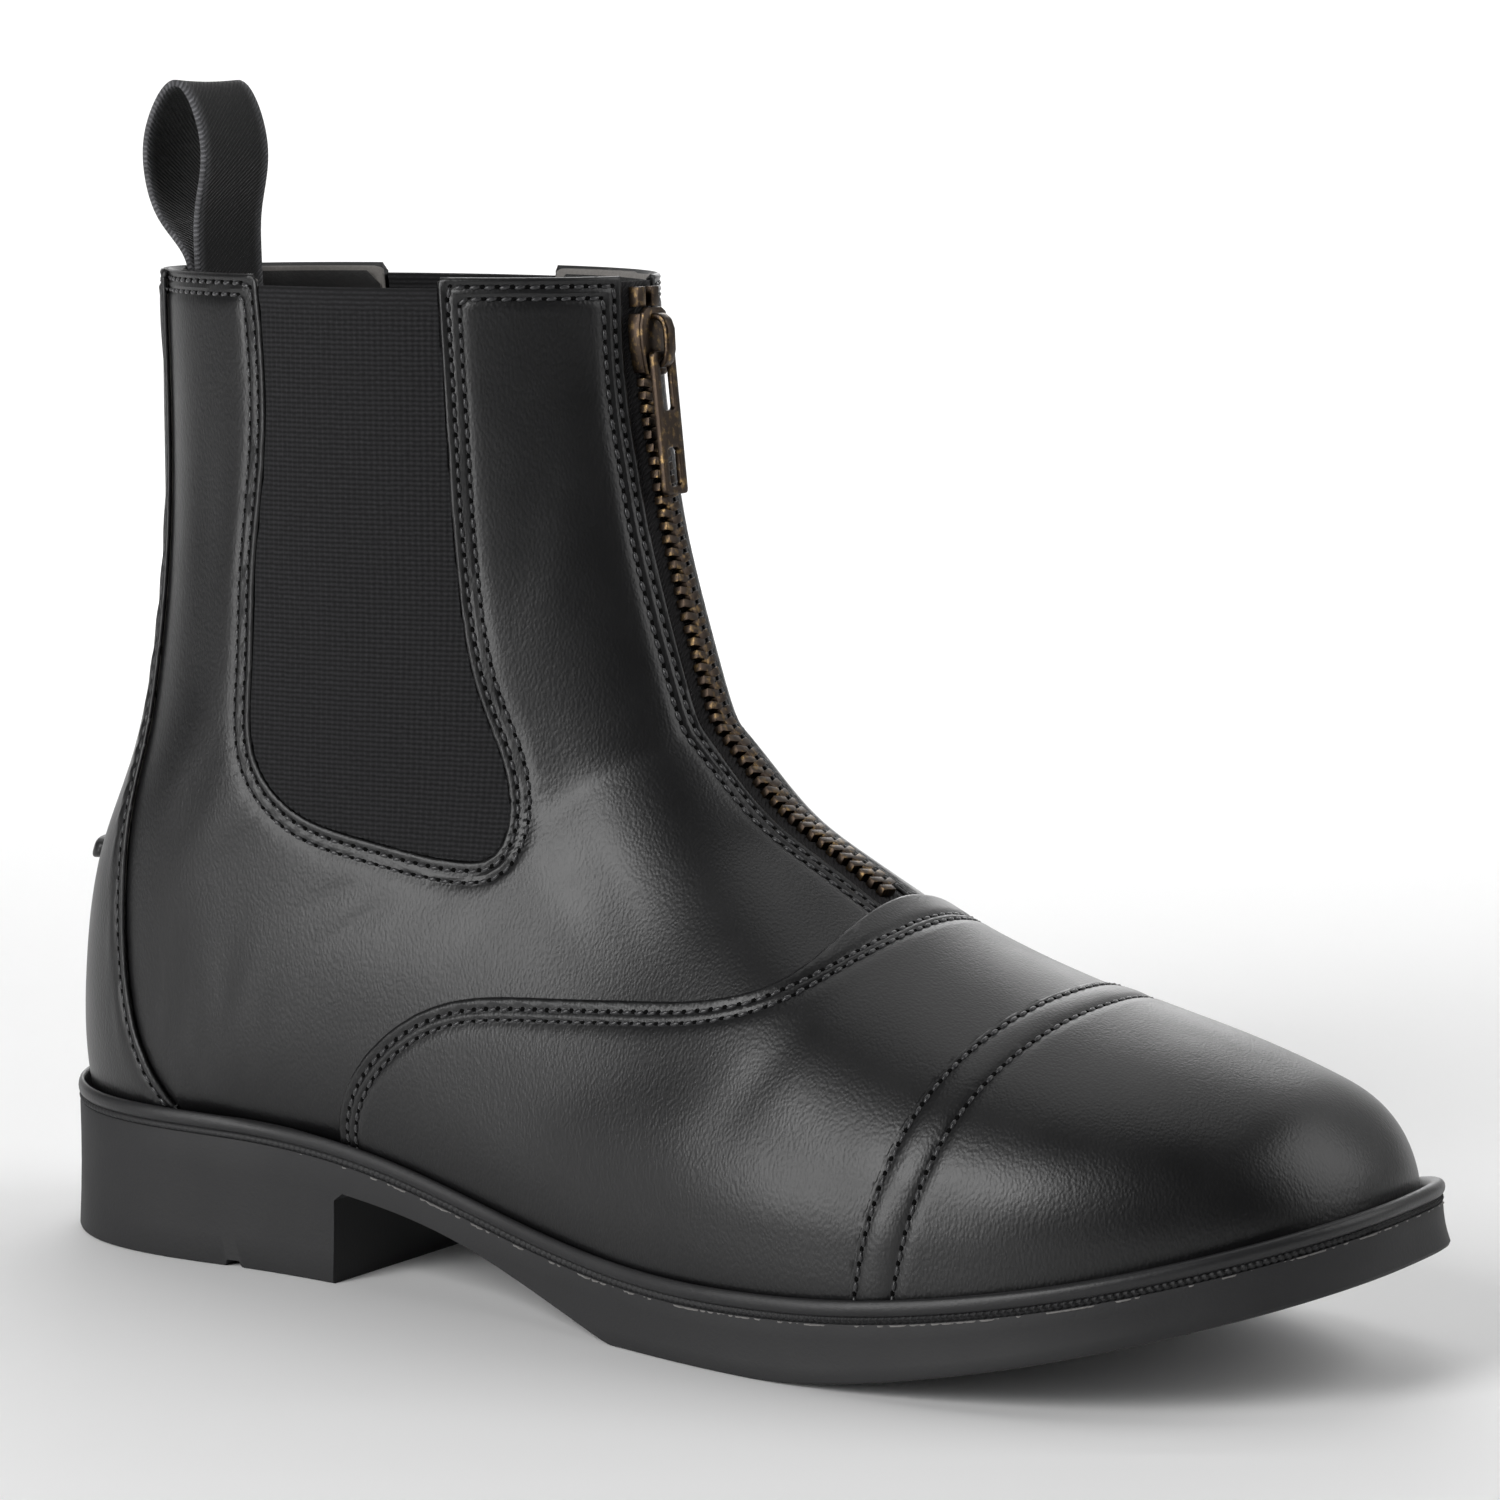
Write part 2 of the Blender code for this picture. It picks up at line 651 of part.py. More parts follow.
def make_upper(parts, cutters):
    """The hollow wall, with an opening for each gusset and the slit for the zip."""
    upper = form_shell("upper", 0.0, WALL, parts, LEATHER)
    top = COLLAR_HEIGHT - GUSSET_DROP
    for side, shift in ((-1, 0.0), (1, INNER_GUSSET_SHIFT)):
        name = "gusset_outer" if side < 0 else "gusset_inner"
        low, high = sorted((0.0, side * BALL_WIDTH))
        opening = side_prism(gusset_region(shift, 0.0, COLLAR_HEIGHT + ABOVE_COLLAR), low, high)
        combine(upper, "DIFFERENCE", add_object(f"{name}_opening", opening, cutters))
        panel = form_shell(name, -GUSSET_SINK, GUSSET_THICKNESS, parts, ELASTIC)
        region = side_prism(gusset_region(shift, GAP, top), low, high)
        combine(panel, "INTERSECT", add_object(f"{name}_region", region, cutters))

    slit = ridge_bar(ridge_stations(ZIP_FOOT_Z, TABLE_HEIGHT, ZIP_STEP), rectangle(SLIT_HALF_WIDTH, *SLIT_REACH))
    above = 2 * slit[-1:] - slit[-2:-1]
    slit = np.concatenate([slit, above])
    combine(upper, "DIFFERENCE", add_object("slit_cutter", lofted(slit, True, True), cutters))


def make_overlays(parts, cutters):
    """Vamp, toe cap and back strip: thin walls just outside the upper, cut to their edges."""
    width = BALL_WIDTH
    cap_region = panel_region(CAP_EDGE, TABLE_LENGTH + BEYOND)
    vamp_region = panel_region(VAMP_EDGE, TABLE_LENGTH + BEYOND)
    strip_region = panel_region(BACK_STRIP_EDGE, -BEYOND)

    vamp = form_shell("vamp", GAP + VAMP_THICKNESS, VAMP_THICKNESS, parts, LEATHER)
    cap = form_shell("toe_cap", GAP + CAP_THICKNESS, CAP_THICKNESS, parts, LEATHER)
    strip = form_shell("back_strip", GAP + BACK_STRIP_THICKNESS, BACK_STRIP_THICKNESS, parts, LEATHER)
    beside_cap = cap_region - (GAP, 0)
    combine(vamp, "INTERSECT", add_object("vamp_region", side_prism(vamp_region, -width, width), cutters))
    combine(vamp, "DIFFERENCE", add_object("cap_clearance", side_prism(beside_cap, -width, width), cutters))
    combine(cap, "INTERSECT", add_object("cap_region", side_prism(cap_region, -width, width), cutters))
    combine(strip, "INTERSECT", add_object("strip_region", side_prism(strip_region, -width, width), cutters))
    ground = smooth(SOLE_TOP, 2 * EDGE_STEPS) + (0, PANEL_FOOT)
    ground = np.concatenate([ground, ground[[-1, 0]] * (1, 0) + (0, BELOW_FLOOR)])
    sole_clearance = add_object("sole_clearance", side_prism(ground, -width, width), cutters)
    for panel in (vamp, cap, strip):
        combine(panel, "DIFFERENCE", sole_clearance)

    outside = 2 * GAP + BACK_STRIP_THICKNESS + SPUR_REST_OUT
    rest = form_shell("spur_rest", outside, SPUR_REST_OUT, parts, LEATHER)
    place = Vector(world([0.0, 0.0, SPUR_REST_HEIGHT * GRADE_Z]))
    region = box([size * MM for size in SPUR_REST_SIZE], place)
    corner = SPUR_REST_ROUND * MM
    bmesh.ops.bevel(region, geom=region.edges[:], offset=corner, affect="EDGES", segments=2, profile=0.5, material=-1)
    combine(rest, "INTERSECT", add_object("spur_rest_region", region, cutters))


def rectangle(half_width, low, high):
    """Section of a bar on the ridge, across and out."""
    return ((-half_width, low), (half_width, low), (half_width, high), (-half_width, high))


def slider_frame():
    """Frame on the ridge under the slider: x down the ridge, y across, z out."""
    low, high = ridge_stations(SLIDER_Z, SLIDER_Z + 2.0, 2.0)
    place, above = (ridge_surface(at, [0.0])[0, 0] for at in (low, high))
    down = Vector(place - above).normalized()
    across = Vector((0, 1, 0))
    out = down.cross(across).normalized()
    turn = Matrix((down, across, out)).transposed().to_4x4()
    return Matrix.Translation(world(place)) @ turn


def make_zip(parts, cutters):
    across = np.linspace(-TAPE_HALF_WIDTH, TAPE_HALF_WIDTH, 5)
    middle = TAPE_TOP - TAPE_THICKNESS / 2
    stations = ridge_stations(ZIP_FOOT_Z + GAP, TABLE_HEIGHT - TAPE_DROP, ZIP_STEP)
    tape = ridge_bar(stations, [(y, middle) for y in across])
    tape = add_object("zip_tape", lofted(tape), parts, WEBBING)
    thicken(tape, TAPE_THICKNESS, 0)

    stations = ridge_stations(ZIP_FOOT_Z + TEETH_START, SLIDER_Z + SLIDER_LENGTH / 2, TOOTH_PITCH / 2)
    low, high = (ridge_bar(stations, rectangle(TOOTH_HALF_WIDTH, 0.0, rise)) for rise in (TOOTH_LOW, TOOTH_HIGH))
    teeth = np.where((np.arange(len(stations)) % 2 == 0)[:, None, None], low, high)
    add_object("zip_teeth", lofted(teeth, True, True), parts, BRASS)

    frame = slider_frame()
    half, inside = SLIDER_WIDTH / 2, SLIDER_WIDTH / 2 - SLIDER_FLANGE
    below, top = SLIDER_PLATE
    channel = [(-half, TAPE_TOP), (-half, top), (half, top), (half, TAPE_TOP)]
    channel += [(inside, TAPE_TOP), (inside, below), (-inside, below), (-inside, TAPE_TOP)]
    body = prism(np.array(channel), 0, -SLIDER_LENGTH / 2, SLIDER_LENGTH / 2)
    slider = add_object("zip_slider", body, parts, BRASS, frame)
    reach, eye = BAIL_LENGTH / 2, BAIL_LENGTH / 2 - BAIL_STRAP
    sunk, under, low_under = top - BAIL_SUNK, BAIL_TOP - BAIL_STRAP, BAIL_TOP - BAIL_STRAP - BAIL_SUNK
    arch = [(-reach, sunk), (-reach, under), (-eye, BAIL_TOP), (eye, BAIL_TOP), (reach, under), (reach, sunk)]
    arch += [(eye, sunk), (eye, low_under), (eye - 1, under), (1 - eye, under), (-eye, low_under), (-eye, sunk)]
    bail = prism(np.array(arch), 1, -BAIL_WIDTH / 2, BAIL_WIDTH / 2)
    combine(slider, "UNION", add_object("bail", bail, cutters, None, frame))

    tilt = Matrix.Rotation(-np.radians(PULL_TILT), 4, "Y")
    hinge = frame @ Matrix.Translation(np.array((HINGE_DOWN, 0, HINGE_OUT)) * MM) @ tilt
    start, end = -PULL_BAR / 2, PULL_LENGTH - PULL_BAR / 2
    side, corner = PULL_WIDTH / 2, PULL_CORNER
    plate = [(start, corner - side), (start, side - corner), (start + corner, side), (end - corner, side)]
    plate += [(end, side - corner), (end, corner - side), (end - corner, -side), (start + corner, -side)]
    pull = prism(np.array(plate), 2, -PULL_THICKNESS / 2, PULL_THICKNESS / 2)
    pull = add_object("zip_pull", pull, parts, BRASS, hinge)
    slot_middle = PULL_BAR / 2 + PULL_SLOT[0] / 2
    window_middle = end - PULL_WINDOW_END - PULL_WINDOW[0] / 2
    for name, size, middle in (("slot", PULL_SLOT, slot_middle), ("window", PULL_WINDOW, window_middle)):
        hole = box((size[0] * MM, size[1] * MM, PULL_WIDTH * MM), Vector((middle * MM, 0, 0)))
        combine(pull, "DIFFERENCE", add_object(f"pull_{name}", hole, cutters, None, hinge))


def make_pull_loop(parts):
    """Strip of webbing, up from inside the back of the collar, over and down again."""
    route = smooth(LOOP_ROUTE, LOOP_STEPS)
    rows = [np.insert(route, 1, side * LOOP_WIDTH / 2, axis=1) for side in (-1, 1)]
    loop = add_object("pull_loop", lofted(rows), parts, WEBBING)
    thicken(loop, LOOP_THICKNESS, 0)


def main():
    for obj in list(bpy.data.objects):
        bpy.data.objects.remove(obj)
    parts = bpy.data.collections.new("jodhpur_boot")
    cutters = bpy.data.collections.new("cutters")
    for collection in (parts, cutters):
        bpy.context.scene.collection.children.link(collection)
    make_sole(parts, cutters)
    make_upper(parts, cutters)
    make_overlays(parts, cutters)
    make_zip(parts, cutters)
    make_pull_loop(parts)
    bpy.context.view_layer.update()


if __name__ == "__main__":
    main()
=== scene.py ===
"""Looks of the zip-front jodhpur boot: grained leather panels with their stitching, ribbed elastic,
a brass zip, a moulded rubber sole and a loop of webbing, on a pale studio floor.

Shapes are drawn in the table's millimetres, from behind the heel and from the floor, as in the part's
source, and go to the frame's metres when a piece is finished.
"""

from collections import namedtuple
from functools import lru_cache

import bmesh
import bpy
import numpy as np
from mathutils import Matrix, Vector, noise
from mathutils.bvhtree import BVHTree


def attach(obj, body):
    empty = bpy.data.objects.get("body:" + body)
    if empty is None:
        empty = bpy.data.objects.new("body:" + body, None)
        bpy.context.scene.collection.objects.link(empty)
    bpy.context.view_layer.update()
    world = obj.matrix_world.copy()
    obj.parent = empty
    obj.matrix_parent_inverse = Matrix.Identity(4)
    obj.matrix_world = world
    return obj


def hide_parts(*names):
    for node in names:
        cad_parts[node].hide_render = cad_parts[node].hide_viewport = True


bl_info = {
    "name": "Jodhpur Boot",
    "version": (1, 0, 0),
    "blender": (4, 5, 0),
    "location": "View3D > Sidebar > Boot",
    "description": "Builds the leather, elastic, zip, sole and loop of a zip-front jodhpur boot",
    "category": "Add Mesh",
}

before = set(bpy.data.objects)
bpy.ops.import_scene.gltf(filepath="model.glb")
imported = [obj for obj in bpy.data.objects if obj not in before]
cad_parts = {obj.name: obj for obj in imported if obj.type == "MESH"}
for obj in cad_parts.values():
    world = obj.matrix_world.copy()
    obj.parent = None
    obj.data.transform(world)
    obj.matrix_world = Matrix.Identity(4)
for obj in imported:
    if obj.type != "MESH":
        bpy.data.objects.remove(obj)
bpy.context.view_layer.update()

# The table's millimetres: the frame's origin, the middle of the boot, its collar and the seating gap
MM = 0.001
ORIGIN = Vector((143.6628, 0.1035, 0.0))
MIDDLE = (93.0, 0.0, 46.5)
COLLAR_Z = 186.0
GAP = 0.3
# Tolerances
TINY = 1e-9
WELD = 1e-3
LOFT_WELD = 1e-4
ON_LINE = 1e-4

# Sections of the last from the tip of the toe, round the heel and up to the collar, as in the part's source
Section = namedtuple("Section", "base_x base_z top_x top_z ridge_y lateral medial widest dome hull")
LAST = (
    Section(277.0, 26, 277.0, 26, 6.0, 0.0, 0.0, 0.42, 2.2, 3.0),
    Section(276.0, 20, 275.8, 36, 6.0, 13.0, 12.0, 0.42, 2.2, 3.0),
    Section(272.0, 18, 271.0, 44, 6.0, 23.0, 20.5, 0.42, 2.2, 3.2),
    Section(261.0, 14, 259.5, 50.5, 5.5, 34.0, 29.5, 0.40, 2.2, 3.4),
    Section(244.0, 9.5, 241.5, 55.5, 5.0, 43.5, 37.0, 0.38, 2.2, 3.7),
    Section(220.0, 5, 216.5, 62, 4.0, 49.0, 42.0, 0.36, 2.1, 4.0),
    Section(192.0, 2, 188.5, 72.5, 3.0, 50.5, 43.5, 0.34, 2.0, 4.0),
    Section(165.0, 2, 172.5, 82, 2.0, 47.5, 41.5, 0.33, 1.95, 3.7),
    Section(130.0, 5, 160.0, 90, 1.5, 41.5, 38.0, 0.35, 2.0, 3.2),
    Section(92.0, 12, 151.5, 98.5, 1.0, 37.5, 36.5, 0.37, 2.1, 2.8),
    Section(48.0, 16, 146.5, 104.5, 0.5, 36.5, 36.0, 0.39, 2.15, 2.6),
    Section(14.0, 17.5, 144.0, 110.5, 0.0, 36.0, 35.5, 0.40, 2.15, 2.5),
    Section(7.0, 29, 141.0, 119.5, 0.0, 35.5, 35.5, 0.40, 2.15, 2.3),
    Section(6.5, 50, 137.5, 131, 0.0, 35.5, 35.5, 0.41, 2.1, 2.2),
    Section(11.0, 71, 134.5, 142.5, 0.0, 35.0, 35.0, 0.42, 2.05, 2.2),
    Section(17.5, 88, 132.8, 151, 0.0, 34.5, 34.5, 0.44, 2.0, 2.1),
    Section(23.0, 107, 131.0, 160, 0.0, 34.5, 34.5, 0.46, 1.95, 2.1),
    Section(26.5, 131, 129.8, 169, 0.0, 34.5, 34.5, 0.48, 1.9, 2.1),
    Section(26.5, 186, 129.0, 186, 0.0, 35.0, 35.0, 0.50, 1.85, 2.1),
)
# Turn from the base of each section, in degrees, that stays below the sole's top edge and isn't drawn
UNDER_FOOT = (55, 55, 55, 55, 55, 55, 55, 55, 48, 36, 20, 0, 0, 0, 0, 0, 0, 0, 0)

BEND_CROWDING = 0.6
FINE_STATIONS = 4000
FINE_TURN = 240
OUTLINE_STATIONS = 480
OUTLINE_POINTS = 150
# Grids over the last: rows from the toe to the heel, rows up the leg, and columns on each side
FINE = (210, 100, 92)
COARSE = (70, 36, 34)

# Side-view lines, as pairs of x and z: the sole's top, the arch, the panels' edges and the loop's route
SOLE_TOP = (
    (0, 25.5), (40, 24.9), (80, 23.2), (100, 20.2), (125, 14.8), (151, 11.0),
    (181, 10.7), (202, 12.1), (228, 15.9), (255, 21.9), (284, 30.5),
)
TOE_SPRING_X = 186.0
TOE_SPRING = 21.0
TOE_SPRING_POWER = 1.45
TOE_SPRING_LENGTH = 94.0
ARCH = ((84.5, 17.2), (97, 15.6), (112, 12.5), (131, 6.6), (150, 0.6), (160, -2.0))
HEEL_BREAST_X = 82.5
HEEL_BREAST_TOP = 15.7
HEEL_GROOVE = ((-2.0, -1.0), (-2.0, 0.0), (-1.4, 1.3), (1.4, 1.3), (2.0, 0.0), (2.0, -1.0))
HEEL_GROOVE_X = 58.5
BELOW_FLOOR = -5.0
CUTTER_REACH = 80.0
GUSSET_EDGE = (
    (66.5, 192), (68.5, 156), (66.0, 134), (65.0, 112), (66.2, 97), (72.5, 89.3), (91, 83.6),
    (110, 81.2), (117, 82.8), (118.8, 89), (112.5, 109), (106.2, 146), (104, 192),
)
INNER_GUSSET_SHIFT = -18.0
VAMP_EDGE = (
    (82.3, 6), (83.5, 28), (87.5, 38), (96, 48), (109, 55.5), (130, 58.7),
    (153, 60.3), (171, 62.6), (180.3, 67.3), (182.5, 75), (180.5, 84), (179, 90),
)
CAP_EDGE = ((202, 6), (203.5, 18), (207, 35), (211, 50), (217, 62), (223, 68), (230, 73))
BACK_STRIP_EDGE = (
    (36.5, 194), (35.5, 150), (35.5, 118), (34, 100), (32.5, 78),
    (32.5, 57), (36, 42), (43.5, 30), (51, 20),
)
LOOP_ROUTE = (
    (33.7, 166), (33.6, 178), (33.2, 188), (33.3, 196), (34.8, 204), (34.0, 213), (28.8, 220.2),
    (23.0, 214), (21.6, 204), (24.9, 195.2), (31.2, 187.6), (32.1, 178), (32.0, 166),
)
LOOP_WIDTH = 19.0
LOOP_THICKNESS = 1.2
LOOP_BOW = 0.35

# Along the sole: x, then how far the sole's edge and the bead's inner edge lie from the foot of the upper,
# and how far the sole flares below its edge
LEDGES = (
    (0, 3.9, 2.5, 0.4),
    (25, 4.7, 2.3, 0.4),
    (53, 5.2, 1.7, 0.4),
    (60, 5.1, 0.6, 0.4),
    (70, 5.0, 0.6, 0.4),
    (78, 5.0, 1.7, 0.4),
    (130, 4.9, 1.7, 0.5),
    (150, 4.6, 1.7, 0.6),
    (170, 4.3, 1.7, 0.7),
    (186, 3.9, 1.7, 0.8),
    (196, 4.0, 1.7, 0.8),
    (206, 4.2, 2.3, 0.9),
    (284, 5.8, 2.7, 1.4),
)
SOLE_ROUND = 0.7
SOLE_HOLLOW = 0.25
BEAD_HEIGHT = 4.0
BEAD_SHOULDER = 3.1
BEAD_MIDDLE = 2.3
BEAD_FOOT = 1.0
BEAD_PROUD = 0.3
BEAD_UNDERCUT = 0.9
# Cord under the bead, from its top edge round to its foot: rise, how far in, and how far the twist is on
CORD_TURN = ((1.25, 0.95, 0.0), (0.95, 0.3, 0.12), (0.5, 0.12, 0.3), (0.05, 0.3, 0.48), (-0.25, 0.95, 0.6))
CORD_NOTCH = 0.75
CORD_BACK = 1.6
# Flash below the cord: rise, and how far in it is rooted, with None on its torn edge
FLASH_TURN = ((-0.2, 1.2), (-0.3, None), (-0.55, None), (-0.8, 1.2), (-0.2, 1.2))
FOOTBED_INSET = 3.2
FOOTBED_BEVEL = 0.7
FOOTBED_EDGE = 2.4
FOOTBED_TOP = 3.0

# Soft dents in the leather, in side view: the middle, the lean of the long way, half sizes and depth
Dent = namedtuple("Dent", "x z lean length width depth")
DENTS = (
    Dent(44, 47, 82, 13, 2.6, 0.55),
    Dent(51, 43, 88, 11, 2.4, 0.5),
    Dent(58, 52, 78, 12, 3.2, 0.4),
    Dent(66, 46, 70, 9, 3.0, 0.3),
    Dent(84, 73, 24, 8, 1.8, 0.2),
    Dent(90, 69, 30, 8, 1.8, 0.18),
    Dent(52, 92, 62, 16, 5.0, 0.5),
    Dent(60, 78, 40, 12, 4.0, 0.35),
    Dent(128, 92, 116, 14, 5.0, 0.45),
    Dent(138, 78, 130, 12, 4.5, 0.4),
    Dent(52, 140, 86, 22, 5.0, 0.45),
    Dent(120, 145, 84, 20, 4.0, 0.35),
    Dent(150, 46, 12, 22, 6.0, 0.35),
    Dent(182, 52, 60, 12, 4.0, 0.3),
)

# Slight waves and ripples of the leather
WAVE_SIZE = 26.0
WAVE_DEPTH = 0.10
RIPPLE_SIZE = 11.0
RIPPLE_DEPTH = 0.012
RIPPLE_SHIFT = Vector((40, 0, 0))

# Leather panels: thicknesses, the rounding of a cut edge and the cuts that carry it, and the seams
QUARTER_WALL = 1.3
LINING_WALL = 0.55
LINING_DEPTH = 1.45
LINING_INSET = 1.6
EDGE_ROUND = 0.7
EDGE_CUTS = (0.0, 0.18, 0.7)
SEAM_WIDTH = 0.75
STITCH_ROWS = (1.8, 3.9)
STITCH_SLANT = 0.12
STITCH_RISE = 0.1
STITCH_HEIGHT = 0.45
STITCH_BATCH = 600
# Near-black dots of painted shade in the needle holes between stitches: their width, as a share of the
# thread, and their depth
SHADE_DOT_WIDTH = 0.62
SHADE_DOT_DEPTH = 0.1
# A cut that passes a corner closer than these shares of an edge goes through the corner
NEAR_CORNER = 0.07
FAR_CORNER = 0.93
SLIVER = 0.06
SPUR_REST_HALF = 16.0
SPUR_REST_Z = 73.5
SPUR_REST_CENTRE_X = 45.0
OUTSIDE_X = -60.0
OUTSIDE_Y = 150.0
ELASTIC_DEPTH = 0.75
ELASTIC_WALL = 1.1
ELASTIC_TOP = COLLAR_Z - 2.0
RIB_HEIGHT = 0.30
HEM_RISE = 0.35

# Zip on the ridge, with outlines as pairs of down and across, or of down and out for the bail
ZIP_END_Z = 77.2
SLIT_FOOT_Z = 74.0
SLIT_HALF_WIDTH = 5.0
TAPE_HALF_WIDTH = 4.9
TOOTH_SIZE = (1.5, 3.3, 1.75, 1.0)
TOOTH_PLACE = (1.1, 0.42)
TOOTH_SLANT = 0.2
STOP_SIZE = (3.6, 2.4, 2.2, 1.0)
STOP_PLACE = (2.1, 0.3)
STOP_ABOVE = 8.2
SLIDER_Z = 174.0
SHIELD = ((-6.2, -2.2), (-5.4, -3.6), (-3.0, -4.2), (0.5, -4.1), (4.2, -3.4), (6.0, -2.9), (6.2, -1.6))
RAIL = (
    (-5.2, 3.1), (-3.0, 3.2), (0.5, 3.1), (5.6, 2.3), (5.6, 3.0),
    (4.2, 3.4), (0.5, 4.1), (-3.0, 4.2), (-5.2, 3.7),
)
BAIL = (
    (-5.2, 2.4), (-5.0, 4.4), (-4.0, 5.6), (-2.2, 6.2), (1.6, 6.2), (3.8, 5.6), (4.8, 4.4), (5.0, 2.4),
    (3.9, 2.4), (3.7, 4.0), (2.9, 4.7), (1.2, 5.0), (-1.8, 5.0), (-3.2, 4.6), (-3.9, 3.8), (-4.0, 2.4),
)
HINGE_OUT = 3.8
HINGE_DOWN = 2.4
PULL_TILT = 3.0
# Pull: its edges and the edges of its slot and window, along and across it
PULL_ALONG = (-0.6, 0.6, 10.1, 11.6, 15.6, 16.9, 23.9, 25.4)
PULL_ACROSS = (-3.5, -1.8, 1.8, 3.5)
PULL_HOLES = ((0.6, 10.1), (16.9, 23.9))
PULL_THICKNESS = 1.2

# Camera that took the photograph, in the table's millimetres
CAMERA_AT = (642.087, -754.177, 220.19)
CAMERA_TO = (139.962, 19.03, 98.0)
CAMERA_LENS = 120.5
CAMERA_AZIMUTH = 33.0

# Studio, in metres and watts, round the middle of the boot
SoftBox = namedtuple("SoftBox", "name azimuth elevation size power")
SOFT_BOXES = (
    SoftBox("key_box", -25, 7, (0.75, 0.6), 11.0),
    SoftBox("front_box", -10, 34, (0.7, 0.7), 14.5),
    SoftBox("toe_box", 120, 34, (1.2, 1.3), 11.0),
    SoftBox("back_box", 210, 24, (0.8, 0.85), 4.5),
    SoftBox("top_box", 210, 80, (0.9, 0.9), 3.0),
)
BOX_DISTANCE = 1.6
BOX_TARGET = Vector((0.0, 0.0, 0.09))
WORLD_LIGHT = 0.02
FLOOR_HALF_WIDTH = 6.0
FLOOR_FRONT = 5.0
FLOOR_BACK = 2.4
COVE_RADIUS = 1.0
WALL_HEIGHT = 2.5


def linear(colour):
    """Linear light of an sRGB hex colour."""
    channels = [int(colour[i : i + 2], 16) / 255 for i in (0, 2, 4)]
    return [c / 12.92 if c <= 0.04045 else ((c + 0.055) / 1.055) ** 2.4 for c in channels]


def size_property(name, description, metres):
    """A size that a user can change."""
    return bpy.props.FloatProperty(name=name, description=description, default=metres, unit="LENGTH")


def colour_property(name, description, colour):
    """A colour that a user can change, from its sRGB hex value."""
    return bpy.props.FloatVectorProperty(
        name=name, description=description, default=linear(colour), subtype="COLOR"
    )


class BootSizes(bpy.types.PropertyGroup):
    """Sizes of the stitching and of the patterns."""

    stitch_pitch: size_property("Stitch Pitch", "From one stitch to the next", 0.0027)
    stitch_length: size_property("Stitch Length", "Thread that shows of each stitch", 0.0020)
    stitch_width: size_property("Thread", "Thickness of the thread", 0.0009)
    seam_depth: size_property("Seam Depth", "How deep a row of stitches pulls the leather in", 0.00045)
    grain: size_property("Grain", "Size of the leather's pebbles", 0.00052)
    rib_pitch: size_property("Elastic Rib", "From one rib of the elastic to the next", 0.00115)
    tooth_pitch: size_property("Tooth Pitch", "From one zip tooth to the next on a side", 0.0024)
    twill_pitch: size_property("Twill", "From one diagonal thread of the webbing to the next", 0.0007)
    cord_pitch: size_property("Welt Cord", "From one notch of the cord under the bead to the next", 0.0013)


class BootColours(bpy.types.PropertyGroup):
    """Colours of the materials."""

    leather: colour_property("Leather", "Black aniline of the leather", "09090A")
    leather_pale: colour_property("Worn Leather", "Where the leather's finish is thinner", "121213")
    raw_edge: colour_property("Raw Edge", "Cut edges of the leather", "908C88")
    thread: colour_property("Thread", "Waxed black thread", "2C2C2E")
    lining: colour_property("Lining", "Suede lining", "1D1C1C")
    rubber: colour_property("Rubber", "Moulded rubber of the sole", "1B1B1C")
    flash: colour_property("Flash", "Thin torn edge left by the mould", "7E7C7A")
    elastic: colour_property("Elastic", "Ribbed elastic of the gussets", "161617")
    webbing: colour_property("Webbing", "Twill of the loop", "0F0F10")
    webbing_pale: colour_property("Webbing Edge", "Rubbed edge of the loop", "86868A")
    tape: colour_property("Zip Tape", "Woven tape of the zip", "120F12")
    brass: colour_property("Brass", "Tarnished brass of the zip", "3C332C")
    brass_worn: colour_property("Worn Brass", "Brass where rubbing keeps it bright", "94794F")
    floor: colour_property("Floor", "Studio floor and backdrop", "F4F4F4")


def boot_sizes():
    """Sizes as the user has set them."""
    return bpy.context.scene.boot_sizes


def boot_colours():
    """Colours as the user has set them."""
    return bpy.context.scene.boot_colours


def spline(knots, values, at):
    """Natural cubic spline through values (one column per curve) at the given knots."""
    knots, values, at = np.asarray(knots, float), np.asarray(values, float), np.asarray(at, float)
    step = np.diff(knots)
    count = len(knots)
    matrix = np.eye(count)
    target = np.zeros_like(values)
    for i in range(1, count - 1):
        matrix[i, i - 1 : i + 2] = step[i - 1], 2 * (step[i - 1] + step[i]), step[i]
        target[i] = 6 * ((values[i + 1] - values[i]) / step[i] - (values[i] - values[i - 1]) / step[i - 1])
    bend = np.linalg.solve(matrix, target)
    i = np.clip(np.searchsorted(knots, at) - 1, 0, count - 2)
    shape = (-1,) + (1,) * (values.ndim - 1)
    width = step[i].reshape(shape)
    a = ((knots[i + 1] - at) / step[i]).reshape(shape)
    b = 1 - a
    curve = ((a**3 - a) * bend[i] + (b**3 - b) * bend[i + 1]) * width**2 / 6
    return a * values[i] + b * values[i + 1] + curve


def along(points):
    """Distance along a line of points to each of them."""
    return np.concatenate([[0.0], np.cumsum(np.linalg.norm(np.diff(points, axis=0), axis=1))])


def point_at(run, points, at):
    """Point of a line at a distance along it, or points at several."""
    return np.stack([np.interp(at, run, column) for column in points.T], axis=-1)


def respaced(points, steps):
    """A line of points spaced anew from end to end, closer in its bends."""
    length = along(points)
    heading = np.diff(points, axis=0) / np.maximum(np.diff(length), TINY)[:, None]
    turning = np.arccos(np.clip((heading[1:] * heading[:-1]).sum(axis=1), -1, 1))
    bend = np.concatenate([[0.0], np.cumsum(turning), [turning.sum()]])
    measure = length / max(length[-1], TINY) + BEND_CROWDING * bend / max(bend[-1], TINY)
    return point_at(measure, points, np.linspace(0, measure[-1], steps + 1))


def smooth_line(profile, steps):
    """Smooth side-view line through the points of a profile."""
    points = np.array(profile, float)
    length = along(points)
    return spline(length, points, np.linspace(0, length[-1], steps + 1))


